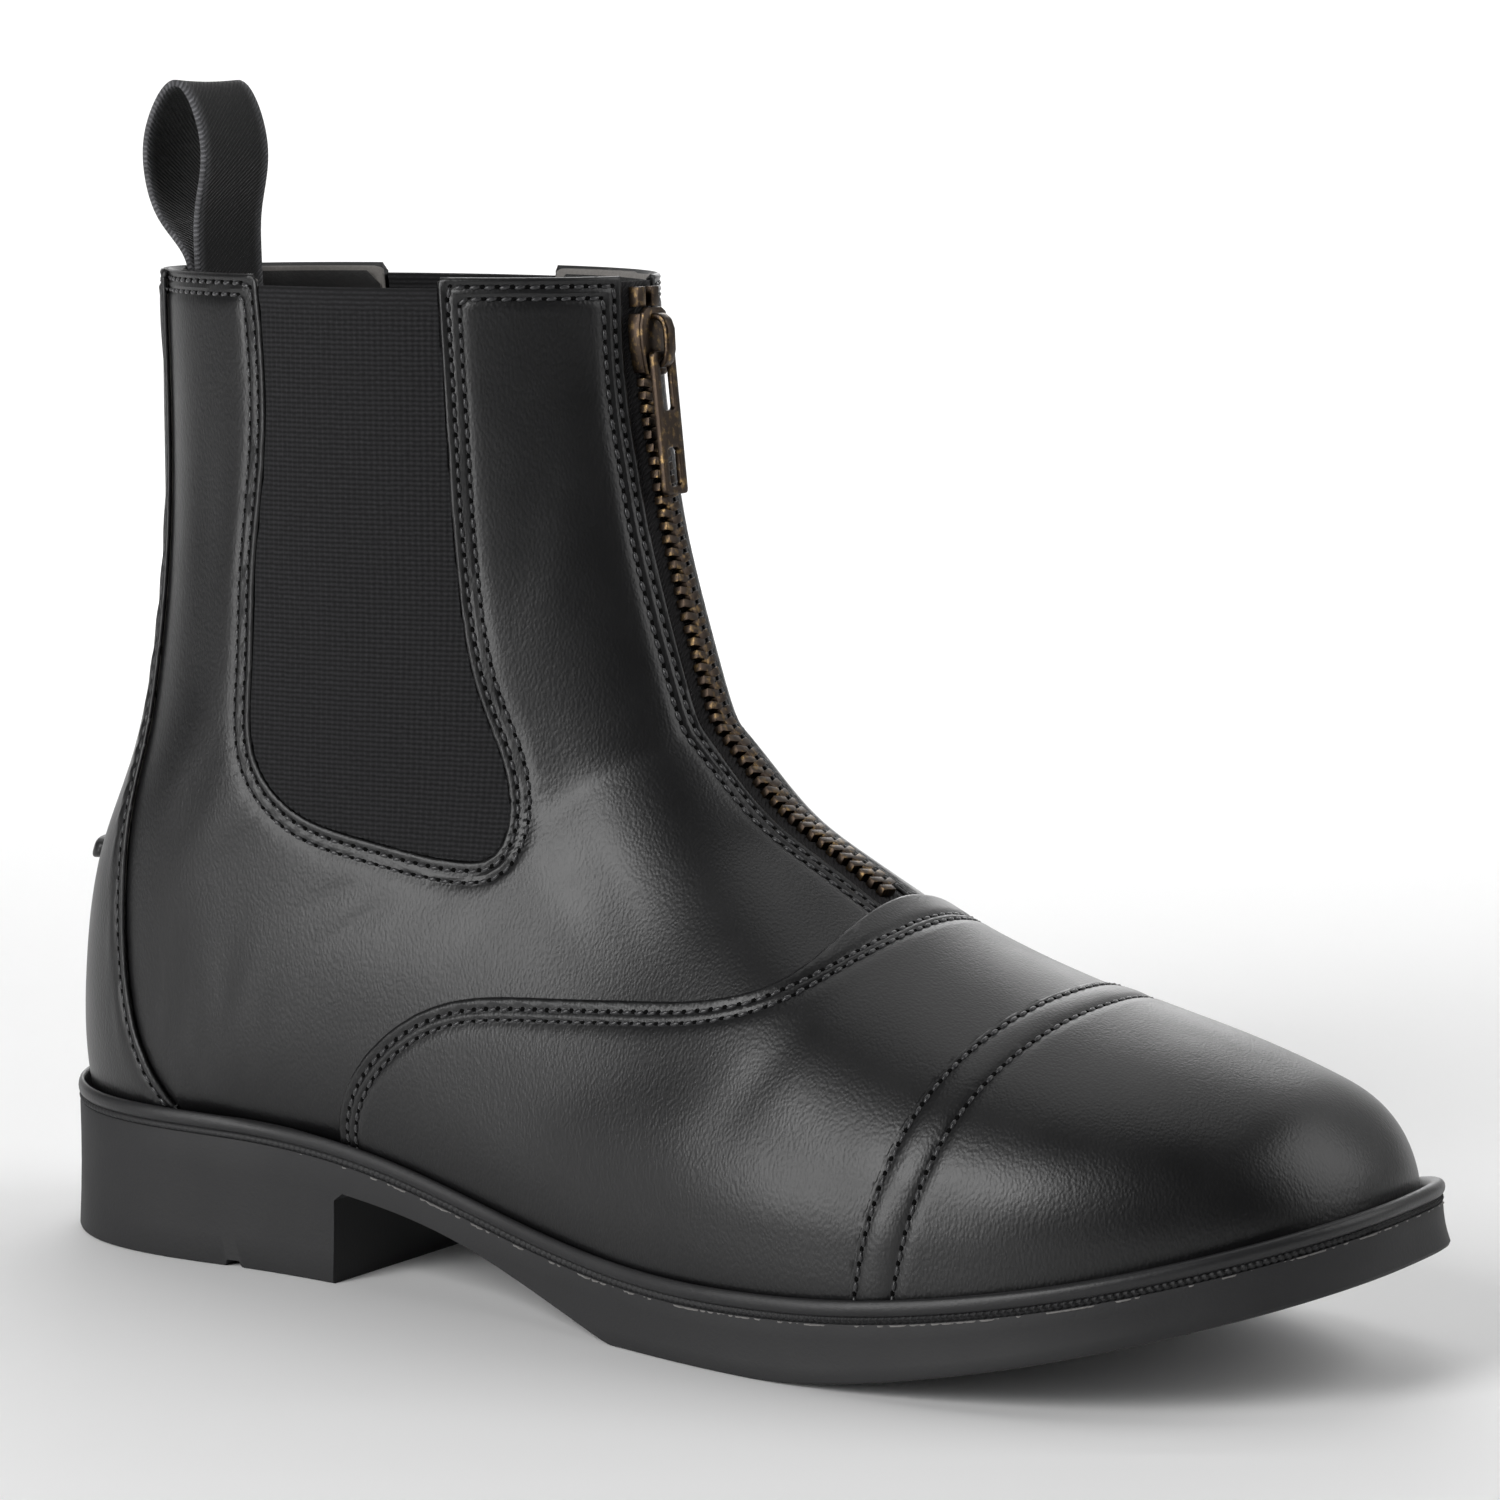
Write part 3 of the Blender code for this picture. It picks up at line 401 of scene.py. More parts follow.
@lru_cache(maxsize=None)
def sole_line():
    """Fine points of the sole's top line, in side view."""
    x = np.linspace(-20, 300, 3201)
    table = np.array(SOLE_TOP, float)
    return x, spline(table[:, 0], table[:, 1], x)


def sole_top(x):
    """Height of the sole's top."""
    return np.interp(x, *sole_line())


def sole_underside(x):
    """Height of the sole's underside, which springs up at the toe."""
    return TOE_SPRING * np.clip((x - TOE_SPRING_X) / TOE_SPRING_LENGTH, 0, None) ** TOE_SPRING_POWER


def section_knots():
    """Distance from the tip of the toe to each section, the mean of its base's and its top's."""
    table = np.array(LAST, float)
    return (along(table[:, 0:2]) + along(table[:, 2:4])) / 2


def sections_at(stations):
    """Section sizes at these distances. Past the tip they run on mirrored, so that the toe closes round."""
    table, knots = np.array(LAST, float), section_knots()
    mirrored = table[2:0:-1].copy()
    mirrored[:, 0:2], mirrored[:, 2:4] = table[2:0:-1, 2:4], table[2:0:-1, 0:2]
    mirrored[:, 5:7] *= -1
    return spline(np.concatenate([-knots[2:0:-1], knots]), np.concatenate([mirrored, table]), stations)


def section_line(section, side, start=0.0):
    """Points of one half of a section from its base, or a turn away from it, up to the ridge."""
    s = Section(*section)
    width = max(s.lateral if side < 0 else s.medial, 0)
    turn = np.linspace(0, np.pi / 2, FINE_TURN)
    low_turn = np.linspace(start, np.pi / 2, FINE_TURN)
    low_rise = s.widest * (1 - np.cos(low_turn) ** (2 / s.hull))
    low_out = np.sin(low_turn) ** (2 / s.hull)
    high_rise = s.widest + (1 - s.widest) * np.sin(turn) ** (2 / s.dome)
    high_out = np.cos(turn) ** (2 / s.dome)
    rise = np.concatenate([low_rise, high_rise[1:]])
    points = np.empty((len(rise), 3))
    points[:, 0] = s.base_x + rise * (s.top_x - s.base_x)
    points[:, 1] = s.ridge_y + side * width * np.concatenate([low_out, high_out[1:]])
    points[:, 2] = s.base_z + rise * (s.top_z - s.base_z)
    return points


def section_lines(stations, side):
    """Section lines at these stations, from below the sole's edge or the back seam up to the ridge."""
    starts = np.interp(stations, section_knots(), np.radians(UNDER_FOOT))
    return [section_line(section, side, start) for section, start in zip(sections_at(stations), starts)]


def section_foot(section, side, lift):
    """Where one half of a section comes down to a lift above the sole, seen from above."""
    points = section_line(section, side)
    clear = points[:, 2] - sole_top(points[:, 0]) - GAP - lift
    below = np.nonzero(clear < 0)[0]
    if not len(below):
        return points[0, :2]
    i = min(below[-1], len(points) - 2)
    share = min(clear[i] / (clear[i] - clear[i + 1]), 1.0)
    return (points[i] + share * (points[i + 1] - points[i]))[:2]


def end_stations(lift):
    """Stations where the toe and the back of the heel come down to the sole, and the collar's."""
    fine = np.linspace(0, section_knots()[-1], FINE_STATIONS)
    rows = sections_at(fine)
    top_clear = rows[:, 3] - sole_top(rows[:, 2]) - GAP - lift
    base_clear = rows[:, 1] - sole_top(rows[:, 0]) - GAP - lift
    toe = fine[np.nonzero(top_clear > 0)[0][0]]
    heel = fine[np.nonzero(base_clear < 0)[0][-1] + 1]
    return toe, heel, fine[-1]


def front_stations(lift):
    """Stations from the toe to the back of the heel, closer together at both ends."""
    toe, heel, _ = end_stations(lift)
    turn = np.pi * np.linspace(0, 1, OUTLINE_STATIONS + 1)
    return toe + (heel - toe) * (1 - np.cos(turn)) / 2


def even_stations(rows):
    """Stations from the toe to the back of the heel whose sections are nowhere far apart."""
    fine = front_stations(0.0)
    lines = np.array([respaced(line, 12) for line in section_lines(fine, -1)])
    steps = np.linalg.norm(np.diff(lines, axis=0), axis=-1).max(axis=1)
    measure = np.concatenate([[0.0], np.cumsum(steps)])
    return np.interp(np.linspace(0, measure[-1], rows + 1), measure, fine)


def ridge_surface(station, across):
    """Points of the form beside the ridge, at distances across it."""
    s = Section(*np.moveaxis(sections_at(np.atleast_1d(station)), 1, 0)[:, :, None])
    across = np.asarray(across, float)[None, :]
    width = np.where(across < 0, s.lateral, s.medial)
    rise = s.widest + (1 - s.widest) * (1 - (np.abs(across) / width) ** s.dome) ** (1 / s.dome)
    x = s.base_x + rise * (s.top_x - s.base_x)
    z = s.base_z + rise * (s.top_z - s.base_z)
    return np.stack([x, s.ridge_y + across, z], axis=-1)


def ridge_bar(stations, section):
    """Rows of points that follow the ridge, from a section's distances across and outwards."""
    across, out = np.array(section, float).T
    step = 0.5
    run = ridge_surface(stations + step, across) - ridge_surface(stations - step, across)
    side = ridge_surface(stations, across + step) - ridge_surface(stations, across - step)
    normal = np.cross(side, run)
    normal /= np.linalg.norm(normal, axis=-1, keepdims=True)
    return ridge_surface(stations, across) + normal * out[None, :, None]


def ridge_stations(low, high, spacing):
    """Stations up the ridge between two heights, evenly spaced along it."""
    fine = np.linspace(0, section_knots()[-1], FINE_STATIONS)
    ridge = sections_at(fine)[:, 2:4]
    low_at, high_at = (np.interp(height, ridge[:, 1], along(ridge)) for height in (low, high))
    steps = round((high_at - low_at) / spacing)
    return np.interp(np.linspace(low_at, high_at, steps + 1), along(ridge), fine)


def turned(place, *axes):
    """Matrix that brings a shape to a place, on three axes of its own."""
    return Matrix.Translation(place) @ Matrix(axes).transposed().to_4x4()


def ridge_frame(station):
    """Frame on the ridge: x down it, y across, z out."""
    low, place, high = (Vector(ridge_surface(station + step, [0.0])[0, 0]) for step in (-1.0, 0.0, 1.0))
    down = (low - high).normalized()
    across = Vector((0, 1, 0))
    return turned(place, down, across, down.cross(across).normalized())


def unit(vectors):
    """Vectors of length 1."""
    return vectors / np.maximum(np.linalg.norm(vectors, axis=-1, keepdims=True), TINY)


def grid_normals(points):
    """Normals of a grid of points, on the side that its rows and columns turn to."""
    return unit(np.cross(np.gradient(points, axis=1), np.gradient(points, axis=0)))


def eased(value, low, high):
    """0 below low, 1 above high, with a smooth step between them."""
    share = np.clip((np.asarray(value, float) - low) / (high - low), 0, 1)
    return share * share * (3 - 2 * share)


def softness(points, across):
    """Dents and slight waves of the leather, in millimetres outwards. They die out beside the zip."""
    x, _, z = np.moveaxis(points, -1, 0)
    places = [Vector(place) for place in points.reshape(-1, 3)]
    wave = np.array([noise.noise(place / WAVE_SIZE) for place in places])
    ripple = np.array([noise.noise(place / RIPPLE_SIZE + RIPPLE_SHIFT) for place in places])
    moved = (WAVE_DEPTH * wave + RIPPLE_DEPTH * ripple).reshape(x.shape)
    for dent in DENTS:
        lean = np.radians(dent.lean)
        ahead = (x - dent.x) * np.cos(lean) + (z - dent.z) * np.sin(lean)
        beside = (z - dent.z) * np.cos(lean) - (x - dent.x) * np.sin(lean)
        moved -= dent.depth * np.exp(-((ahead / dent.length) ** 2) - (beside / dent.width) ** 2)
    return moved * eased(np.abs(across), 6.0, 16.0) * eased(COLLAR_Z - z, 0.0, 6.0)


@lru_cache(maxsize=None)
def last_form(front_rows, leg_rows, columns):
    """Grid of points and normals over the last from the toe to the collar, and distances from its ridge."""
    _, heel, collar = end_stations(0.0)
    stations = np.concatenate([even_stations(front_rows), np.linspace(heel, collar, leg_rows + 1)[1:]])
    outer, inner = (
        np.array([respaced(line, columns) for line in section_lines(stations, side)]) for side in (-1, 1)
    )
    points = np.concatenate([outer, inner[:, -2::-1]], axis=1)
    across = points[..., 1] - sections_at(stations)[:, 4, None]
    points = points + grid_normals(points) * outward(points) * softness(points, across)[..., None]
    normals = grid_normals(points) * outward(points)
    # Up the back of the leg both halves end on one seam, and share its normal
    seam_rows = np.linalg.norm(points[:, 0] - points[:, -1], axis=1) < WELD
    normals[seam_rows, 0] = normals[seam_rows, -1] = unit(normals[seam_rows, 0] + normals[seam_rows, -1])
    return points, normals, across


def outward(points):
    """1 where a grid's normals point away from the middle of the boot, or -1."""
    return 1.0 if (grid_normals(points) * (points - np.array(MIDDLE))).sum() > 0 else -1.0


def side_distance(points, normals, line):
    """Distance over the surface from a side-view line, positive on its left."""
    place = points.reshape(-1, 3)[:, [0, 2]]
    start, run = line[:-1], np.diff(line, axis=0)
    best = np.full(len(place), np.inf)
    found = np.zeros((len(place), 2))
    sign = np.ones(len(place))
    for a, ab in zip(start, run):
        offset = place - a
        share = np.clip(offset @ ab / (ab @ ab), 0, 1)
        gap = offset - share[:, None] * ab
        square = (gap**2).sum(axis=1)
        closer = square < best
        best[closer] = square[closer]
        found[closer] = gap[closer]
        sign[closer] = np.where(ab[0] * offset[closer, 1] - ab[1] * offset[closer, 0] >= 0, 1.0, -1.0)
    distance = np.sqrt(best)
    heading = found / np.maximum(distance, TINY)[:, None]
    slope = (heading * normals.reshape(-1, 3)[:, [0, 2]]).sum(axis=1)
    distance = distance / np.sqrt(np.maximum(1 - slope**2, 0.12))
    return (sign * distance).reshape(points.shape[:-1])


def sheet(points, **fields):
    """Grid of faces through rows of points. Fields are values kept on its vertices."""
    last_row, last_column = points.shape[0] - 1, points.shape[1] - 1
    bm = bmesh.new()
    bmesh.ops.create_grid(bm, x_segments=last_column, y_segments=last_row, size=1)
    for name in fields:
        bm.verts.layers.float.new(name)
    layers = [(bm.verts.layers.float[name], values) for name, values in fields.items()]
    for vert in bm.verts:
        row = round((vert.co.y + 1) / 2 * last_row)
        column = round((vert.co.x + 1) / 2 * last_column)
        vert.co = points[row, column]
        for layer, values in layers:
            vert[layer] = values[row, column]
    return bm


def form_sheet(form, **fields):
    """Sheet over the whole form down to the sole, with its normals and other values on its vertices."""
    points, normals, _ = form
    clear = points[..., 2] - sole_top(points[..., 0]) - GAP
    bm = sheet(points, nx=normals[..., 0], ny=normals[..., 1], nz=normals[..., 2], clear=clear, **fields)
    bmesh.ops.remove_doubles(bm, verts=bm.verts, dist=WELD)
    cut_along(bm, "clear", 0.0)
    keep(bm, "clear", 0.0)
    return bm


def cut_along(bm, field, *levels):
    """Cut a sheet where a value on its vertices crosses each level."""
    layer = bm.verts.layers.float[field]
    for level in levels:
        on_line = []
        for edge in list(bm.edges):
            first, second = edge.verts
            before, after = first[layer] - level, second[layer] - level
            if before * after >= 0:
                continue
            share = before / (before - after)
            if share < NEAR_CORNER:
                vert = first
            elif share > FAR_CORNER:
                vert = second
            else:
                _, vert = bmesh.utils.edge_split(edge, first, share)
            vert[layer] = level
            on_line.append(vert)
        on_line = list(dict.fromkeys(on_line))
        bmesh.ops.connect_verts(bm, verts=on_line)
        # A line that passes close by a corner leaves slivers there, which would catch the light
        bmesh.ops.remove_doubles(bm, verts=on_line, dist=SLIVER)


def keep(bm, field, low, high=np.inf):
    """Delete the faces whose value is out of these limits."""
    layer = bm.verts.layers.float[field]
    gone = []
    for face in bm.faces:
        mean = sum(vert[layer] for vert in face.verts) / len(face.verts)
        if not low <= mean <= high:
            gone.append(face)
    bmesh.ops.delete(bm, geom=gone, context="FACES")


def shaped(bm, lift):
    """Move a sheet along its normals by a lift that depends on the values at each vertex."""
    names = bm.verts.layers.float.keys()
    layers = [bm.verts.layers.float[name] for name in names]
    values = np.array([[vert[layer] for layer in layers] for vert in bm.verts])
    field = dict(zip(names, values.T))
    normals = unit(np.stack([field["nx"], field["ny"], field["nz"]], axis=1))
    places = np.array([vert.co for vert in bm.verts]) + normals * np.reshape(lift(field), (-1, 1))
    for vert, place in zip(bm.verts, places):
        vert.co = place


def rounded(distance):
    """Drop of a cut edge's rounding at a distance from it."""
    inside = np.clip(EDGE_ROUND - distance, 0, EDGE_ROUND)
    return EDGE_ROUND - np.sqrt(EDGE_ROUND**2 - inside**2)


def seam(distance, depth):
    """Trough that a row of stitches pulls into the leather."""
    return depth * np.exp(-((distance / SEAM_WIDTH) ** 2))


def lines_on(bm, field, level):
    """Lines of vertices where a sheet was cut along a level, each with its places and normals."""
    layer = bm.verts.layers.float[field]
    axes = [bm.verts.layers.float[name] for name in ("nx", "ny", "nz")]
    bm.verts.index_update()
    on_line = {vert.index: vert for vert in bm.verts if abs(vert[layer] - level) < ON_LINE}
    links = {}
    for index, vert in on_line.items():
        others = (edge.other_vert(vert).index for edge in vert.link_edges)
        links[index] = sorted(other for other in others if other in on_line)
    left = dict.fromkeys(sorted(on_line))
    lines = []
    for ends in (1, 2, 3):
        for start in list(left):
            if start not in left or len(links[start]) > ends:
                continue
            line = [start]
            left.pop(start)
            while True:
                ahead = [other for other in links[line[-1]] if other in left]
                if not ahead:
                    break
                line.append(ahead[0])
                left.pop(ahead[0])
            if len(line) > 3:
                verts = [on_line[index] for index in line]
                places = np.array([vert.co for vert in verts])
                normals = unit(np.array([[vert[axis] for axis in axes] for vert in verts]))
                lines.append((places, normals))
    return lines


def sew(bm, lines):
    """Stitches along lines on a sheet: bits of thread, a little aslant, with near-black dots between them as
    painted shade in the needle holes.
    """
    sizes = boot_sizes()
    pitch, length, width = sizes.stitch_pitch / MM, sizes.stitch_length / MM, sizes.stitch_width / MM
    for places, normals in lines:
        run = along(places)
        batch = bmesh.new()
        for i in range(int(run[-1] / pitch)):
            at = (i + 0.5) * pitch
            start, end = (point_at(run, places, at + half) for half in (-length / 2, length / 2))
            normal = Vector(point_at(run, normals, at)).normalized()
            tangent = Vector(end - start)
            if tangent.length < length / 2:
                continue
            tangent.normalize()
            tangent.rotate(Matrix.Rotation(STITCH_SLANT, 3, normal))
            side = normal.cross(tangent).normalized()
            normal = tangent.cross(side)
            middle = Vector(start + end) / 2 + normal * STITCH_RISE
            thread = turned(middle, side * width / 2, normal * width * STITCH_HEIGHT, tangent * length / 2)
            bmesh.ops.create_uvsphere(batch, u_segments=6, v_segments=4, radius=1, matrix=thread)
            # A flattened near-black dot between stitches is painted shade in the needle hole
            ahead = middle + tangent * pitch / 2
            across, deep, on = side * width * SHADE_DOT_WIDTH, normal * SHADE_DOT_DEPTH, tangent * width * SHADE_DOT_WIDTH
            shade_dot = turned(ahead, across, deep, on)
            made = bmesh.ops.create_uvsphere(batch, u_segments=6, v_segments=3, radius=1, matrix=shade_dot)
            for face in {face for vert in made["verts"] for face in vert.link_faces}:
                face.material_index = 1
            # A growing mesh slows each new stitch down, so they are handed over a few at a time
            if len(batch.verts) > STITCH_BATCH:
                joined(bm, batch)
                batch = bmesh.new()
        joined(bm, batch)


def linked(name, bm):
    """Object of a shape, in the scene."""
    mesh = bpy.data.meshes.new(name)
    bm.to_mesh(mesh)
    bm.free()
    if not len(mesh.polygons):
        raise RuntimeError(f"{name} has no faces")
    made = bpy.data.objects.new(name, mesh)
    bpy.context.scene.collection.objects.link(made)
    return made


def placed(name, bm):
    """Object of a shape drawn in the table's millimetres, brought to its place in metres."""
    bmesh.ops.translate(bm, vec=-ORIGIN, verts=bm.verts)
    bmesh.ops.scale(bm, vec=(MM, MM, MM), verts=bm.verts)
    return linked(name, bm)


def smoothed(mesh, angle):
    """Shade a mesh smooth where its faces meet at less than an angle."""
    mesh.shade_smooth()
    mesh.set_sharp_from_angle(angle=np.radians(angle))


def add_piece(name, bm, materials, angle, nodes=(), body="boot", wall=None):
    """Make a finished shape a piece that rides on its body.

    A wall is a thickness and the side that it grows to: -1 inwards, 0 both ways.
    """
    piece = placed(name, bm)
    smoothed(piece.data, angle)
    for material in materials:
        piece.data.materials.append(material)
    if wall:
        shell = piece.modifiers.new("wall", "SOLIDIFY")
        shell.thickness = wall[0] * MM
        shell.offset = wall[1]
        shell.material_offset = min(1, len(materials) - 1)
        shell.material_offset_rim = len(materials) - 1
    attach(piece, body)
    if nodes:
        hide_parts(*nodes)
    return piece


def set_sockets(tree, made, sockets):
    """Give sockets of a node a value, or a link from another node's output."""
    for socket, value in sockets.items():
        if isinstance(value, bpy.types.NodeSocket):
            tree.links.new(value, made.inputs[socket])
        else:
            made.inputs[socket].default_value = value


def node(tree, kind, sockets=None, **settings):
    """Add a node with its settings, values and links."""
    made = tree.nodes.new(kind)
    for key, value in settings.items():
        setattr(made, key, value)
    set_sockets(tree, made, sockets or {})
    return made


def new_material(name):
    """A material, its node tree and the place of each point on its piece."""
    made = bpy.data.materials.new(name)
    made.use_nodes = True
    return made, made.node_tree, node(made.node_tree, "ShaderNodeTexCoord").outputs["Object"]


def finished(made, sockets):
    """A material with the sockets of its shader set and linked."""
    set_sockets(made.node_tree, made.node_tree.nodes["Principled BSDF"], sockets)
    return made


def toned(colour, factor=1.0):
    """A colour as a socket takes it, darker or paler by a factor."""
    return (*(min(channel * factor, 1.0) for channel in colour), 1.0)


@lru_cache(maxsize=None)
def grained_leather():
    """Aniline-dyed calf leather, plated and waxed: black, half gloss, with fine pebbles and soft pores."""
    colours = boot_colours()
    made, tree, place = new_material("grained_leather")
    patches = node(tree, "ShaderNodeTexNoise", {"Vector": place, "Scale": 1 / 0.016, "Detail": 3.0})
    worn = patches.outputs["Fac"]
    colour = node(
        tree, "ShaderNodeMix",
        {"Factor": worn, "A": toned(colours.leather), "B": toned(colours.leather_pale)},
        data_type="RGBA",
    )
    gloss = node(tree, "ShaderNodeMapRange", {"Value": worn, "To Min": 0.33, "To Max": 0.45})
    wander = node(tree, "ShaderNodeTexNoise", {"Vector": place, "Scale": 1 / 0.003, "Detail": 1.0})
    bent = node(
        tree, "ShaderNodeVectorMath",
        {0: wander.outputs["Color"], 1: (0.0006, 0.0006, 0.0006), 2: place},
        operation="MULTIPLY_ADD",
    )
    # The pebbles run aslant, longer one way than the other
    slant = node(
        tree, "ShaderNodeMapping",
        {
            "Vector": bent.outputs["Vector"],
            "Rotation": (0.0, np.radians(40.0), 0.0),
            "Scale": (1.0, 1.0, 0.6),
        },
    )
    pebbles = node(
        tree, "ShaderNodeTexVoronoi",
        {"Vector": slant.outputs["Vector"], "Scale": 1 / boot_sizes().grain, "Smoothness": 0.6},
        feature="SMOOTH_F1",
    )
    pores = node(tree, "ShaderNodeTexNoise", {"Vector": place, "Scale": 1 / 0.0004, "Detail": 2.0})
    relief = node(
        tree, "ShaderNodeMath",
        {0: pores.outputs["Fac"], 1: -0.35, 2: pebbles.outputs["Distance"]},
        operation="MULTIPLY_ADD",
    )
    strength = node(tree, "ShaderNodeMapRange", {"Value": worn, "To Min": 0.12, "To Max": 0.3})
    bump = node(
        tree, "ShaderNodeBump",
        {"Strength": strength.outputs["Result"], "Distance": 0.00022, "Height": relief.outputs["Value"]},
        invert=True,
    )
    return finished(
        made,
        {
            "Base Color": colour.outputs["Result"],
            "Roughness": gloss.outputs["Result"],
            "Normal": bump.outputs["Normal"],
        },
    )


def fibrous(name, dark, pale, tufts, relief, finish):
    """A material in two shades of small tufts that stand out a little, with constants on its shader."""
    made, tree, place = new_material(name)
    tuft = node(tree, "ShaderNodeTexNoise", {"Vector": place, **tufts}).outputs["Fac"]
    colour = node(tree, "ShaderNodeMix", {"Factor": tuft, "A": dark, "B": pale}, data_type="RGBA")
    bump = node(tree, "ShaderNodeBump", {"Height": tuft, **relief})
    return finished(
        made, {"Base Color": colour.outputs["Result"], "Normal": bump.outputs["Normal"], **finish}
    )


def unglazed(name, colour, size, depth):
    """Suede or a raw cut: short fibres that take no gloss, darker and paler in small tufts."""
    return fibrous(
        name,
        toned(colour, 0.45),
        toned(colour),
        {"Scale": 1 / size, "Detail": 5.0, "Roughness": 0.7},
        {"Strength": 0.7, "Distance": depth},
        {"Roughness": 0.95, "Sheen Weight": 0.1, "Sheen Roughness": 0.6},
    )


@lru_cache(maxsize=None)
def suede_lining():
    """Suede of the lining and the footbed: a dull nap."""
    return unglazed("suede_lining", boot_colours().lining, 0.0012, 0.0004)


@lru_cache(maxsize=None)
def raw_leather_edge():
    """Flesh side and cut edges of the leather: pale, matted fibre."""
    return unglazed("raw_leather_edge", boot_colours().raw_edge, 0.0007, 0.0003)


@lru_cache(maxsize=None)
def torn_flash():
    """Rubber pressed out at the mould's joint and torn off: a pale, ragged lip."""
    return unglazed("torn_rubber_flash", boot_colours().flash, 0.0012, 0.0003)


@lru_cache(maxsize=None)
def waxed_thread():
    """Bonded polyester thread, waxed: black with a small bright glint along each stitch."""
    colour = boot_colours().thread
    return fibrous(
        "waxed_thread",
        toned(colour, 0.5),
        toned(colour),
        {"Scale": 1 / 0.0005, "Detail": 2.0},
        {"Strength": 0.3, "Distance": 0.0002},
        {"Roughness": 0.32, "Sheen Weight": 0.2},
    )


@lru_cache(maxsize=None)
def inked_edge():
    """Cut edge of the leather, inked black and burnished: half gloss over a fibrous cut."""
    colours = boot_colours()
    return fibrous(
        "inked_leather_edge",
        toned(colours.leather),
        toned(colours.leather_pale),
        {"Scale": 1 / 0.0006, "Detail": 3.0},
        {"Strength": 0.5, "Distance": 0.0002},
        {"Roughness": 0.5},
    )


@lru_cache(maxsize=None)
def needle_hole_painted_shade():
    """Painted shade in the needle holes of the stitching: leather fibre in a matte near black, standing in
    for the shade in each hole.
    """
    made, tree, place = new_material("needle_hole_painted_shade")
    fibre = node(tree, "ShaderNodeTexNoise", {"Vector": place, "Scale": 1 / 0.0003, "Detail": 1.0})
    dark = node(tree, "ShaderNodeMapRange", {"Value": fibre.outputs["Fac"], "To Min": 0.0, "To Max": 0.004})
    return finished(
        made, {"Base Color": dark.outputs["Result"], "Roughness": 1.0, "Specular IOR Level": 0.1}
    )


def moulded_rubber(name, low, high):
    """Moulded rubber: matte, with a fine grit from the mould, and duller where dust holds."""
    colour = boot_colours().rubber
    made, tree, place = new_material(name)
    clouds = node(tree, "ShaderNodeTexNoise", {"Vector": place, "Scale": 1 / 0.012, "Detail": 4.0})
    dust = clouds.outputs["Fac"]
    grit = node(tree, "ShaderNodeTexNoise", {"Vector": place, "Scale": 1 / 0.0006, "Detail": 3.0})
    mixed = node(
        tree, "ShaderNodeMix",
        {"Factor": dust, "A": toned(colour), "B": toned(colour, 1.7)},
        data_type="RGBA",
    )
    dull = node(tree, "ShaderNodeMapRange", {"Value": dust, "To Min": low, "To Max": high})
    bump = node(
        tree, "ShaderNodeBump", {"Strength": 0.25, "Distance": 0.0002, "Height": grit.outputs["Fac"]}
    )
    return finished(
        made,
        {
            "Base Color": mixed.outputs["Result"],
            "Roughness": dull.outputs["Result"],
            "Specular IOR Level": 0.4,
            "Normal": bump.outputs["Normal"],
        },
    )


def wave_scale(pitch):
    """Scale of a wave pattern, which repeats every 2 pi / 20 units, for a pitch in metres."""
    return 2 * np.pi / 20 / pitch


@lru_cache(maxsize=None)
def ribbed_elastic():
    """Covered rubber elastic: dull black yarn over the ribs, in fine rows across them."""
    colour = boot_colours().elastic
    made, tree, place = new_material("ribbed_elastic")
    rows = node(
        tree, "ShaderNodeTexWave",
        {
            "Vector": place,
            "Scale": wave_scale(0.0009),
            "Distortion": 1.2,
            "Detail": 2.0,
            "Detail Scale": 1.5,
        },
        bands_direction="Z",
    )
    yarn = node(tree, "ShaderNodeTexNoise", {"Vector": place, "Scale": 1 / 0.0007, "Detail": 3.0})
    cover = node(
        tree, "ShaderNodeMath", {0: rows.outputs["Fac"], 1: yarn.outputs["Fac"]}, operation="MULTIPLY"
    ).outputs["Value"]
    mixed = node(
        tree, "ShaderNodeMix",
        {"Factor": cover, "A": toned(colour), "B": toned(colour, 4.0)},
        data_type="RGBA",
    )
    bump = node(tree, "ShaderNodeBump", {"Strength": 0.8, "Distance": 0.0003, "Height": cover})
    return finished(
        made,
        {
            "Base Color": mixed.outputs["Result"],
            "Roughness": 0.95,
            "Specular IOR Level": 0.25,
            "Normal": bump.outputs["Normal"],
        },
    )


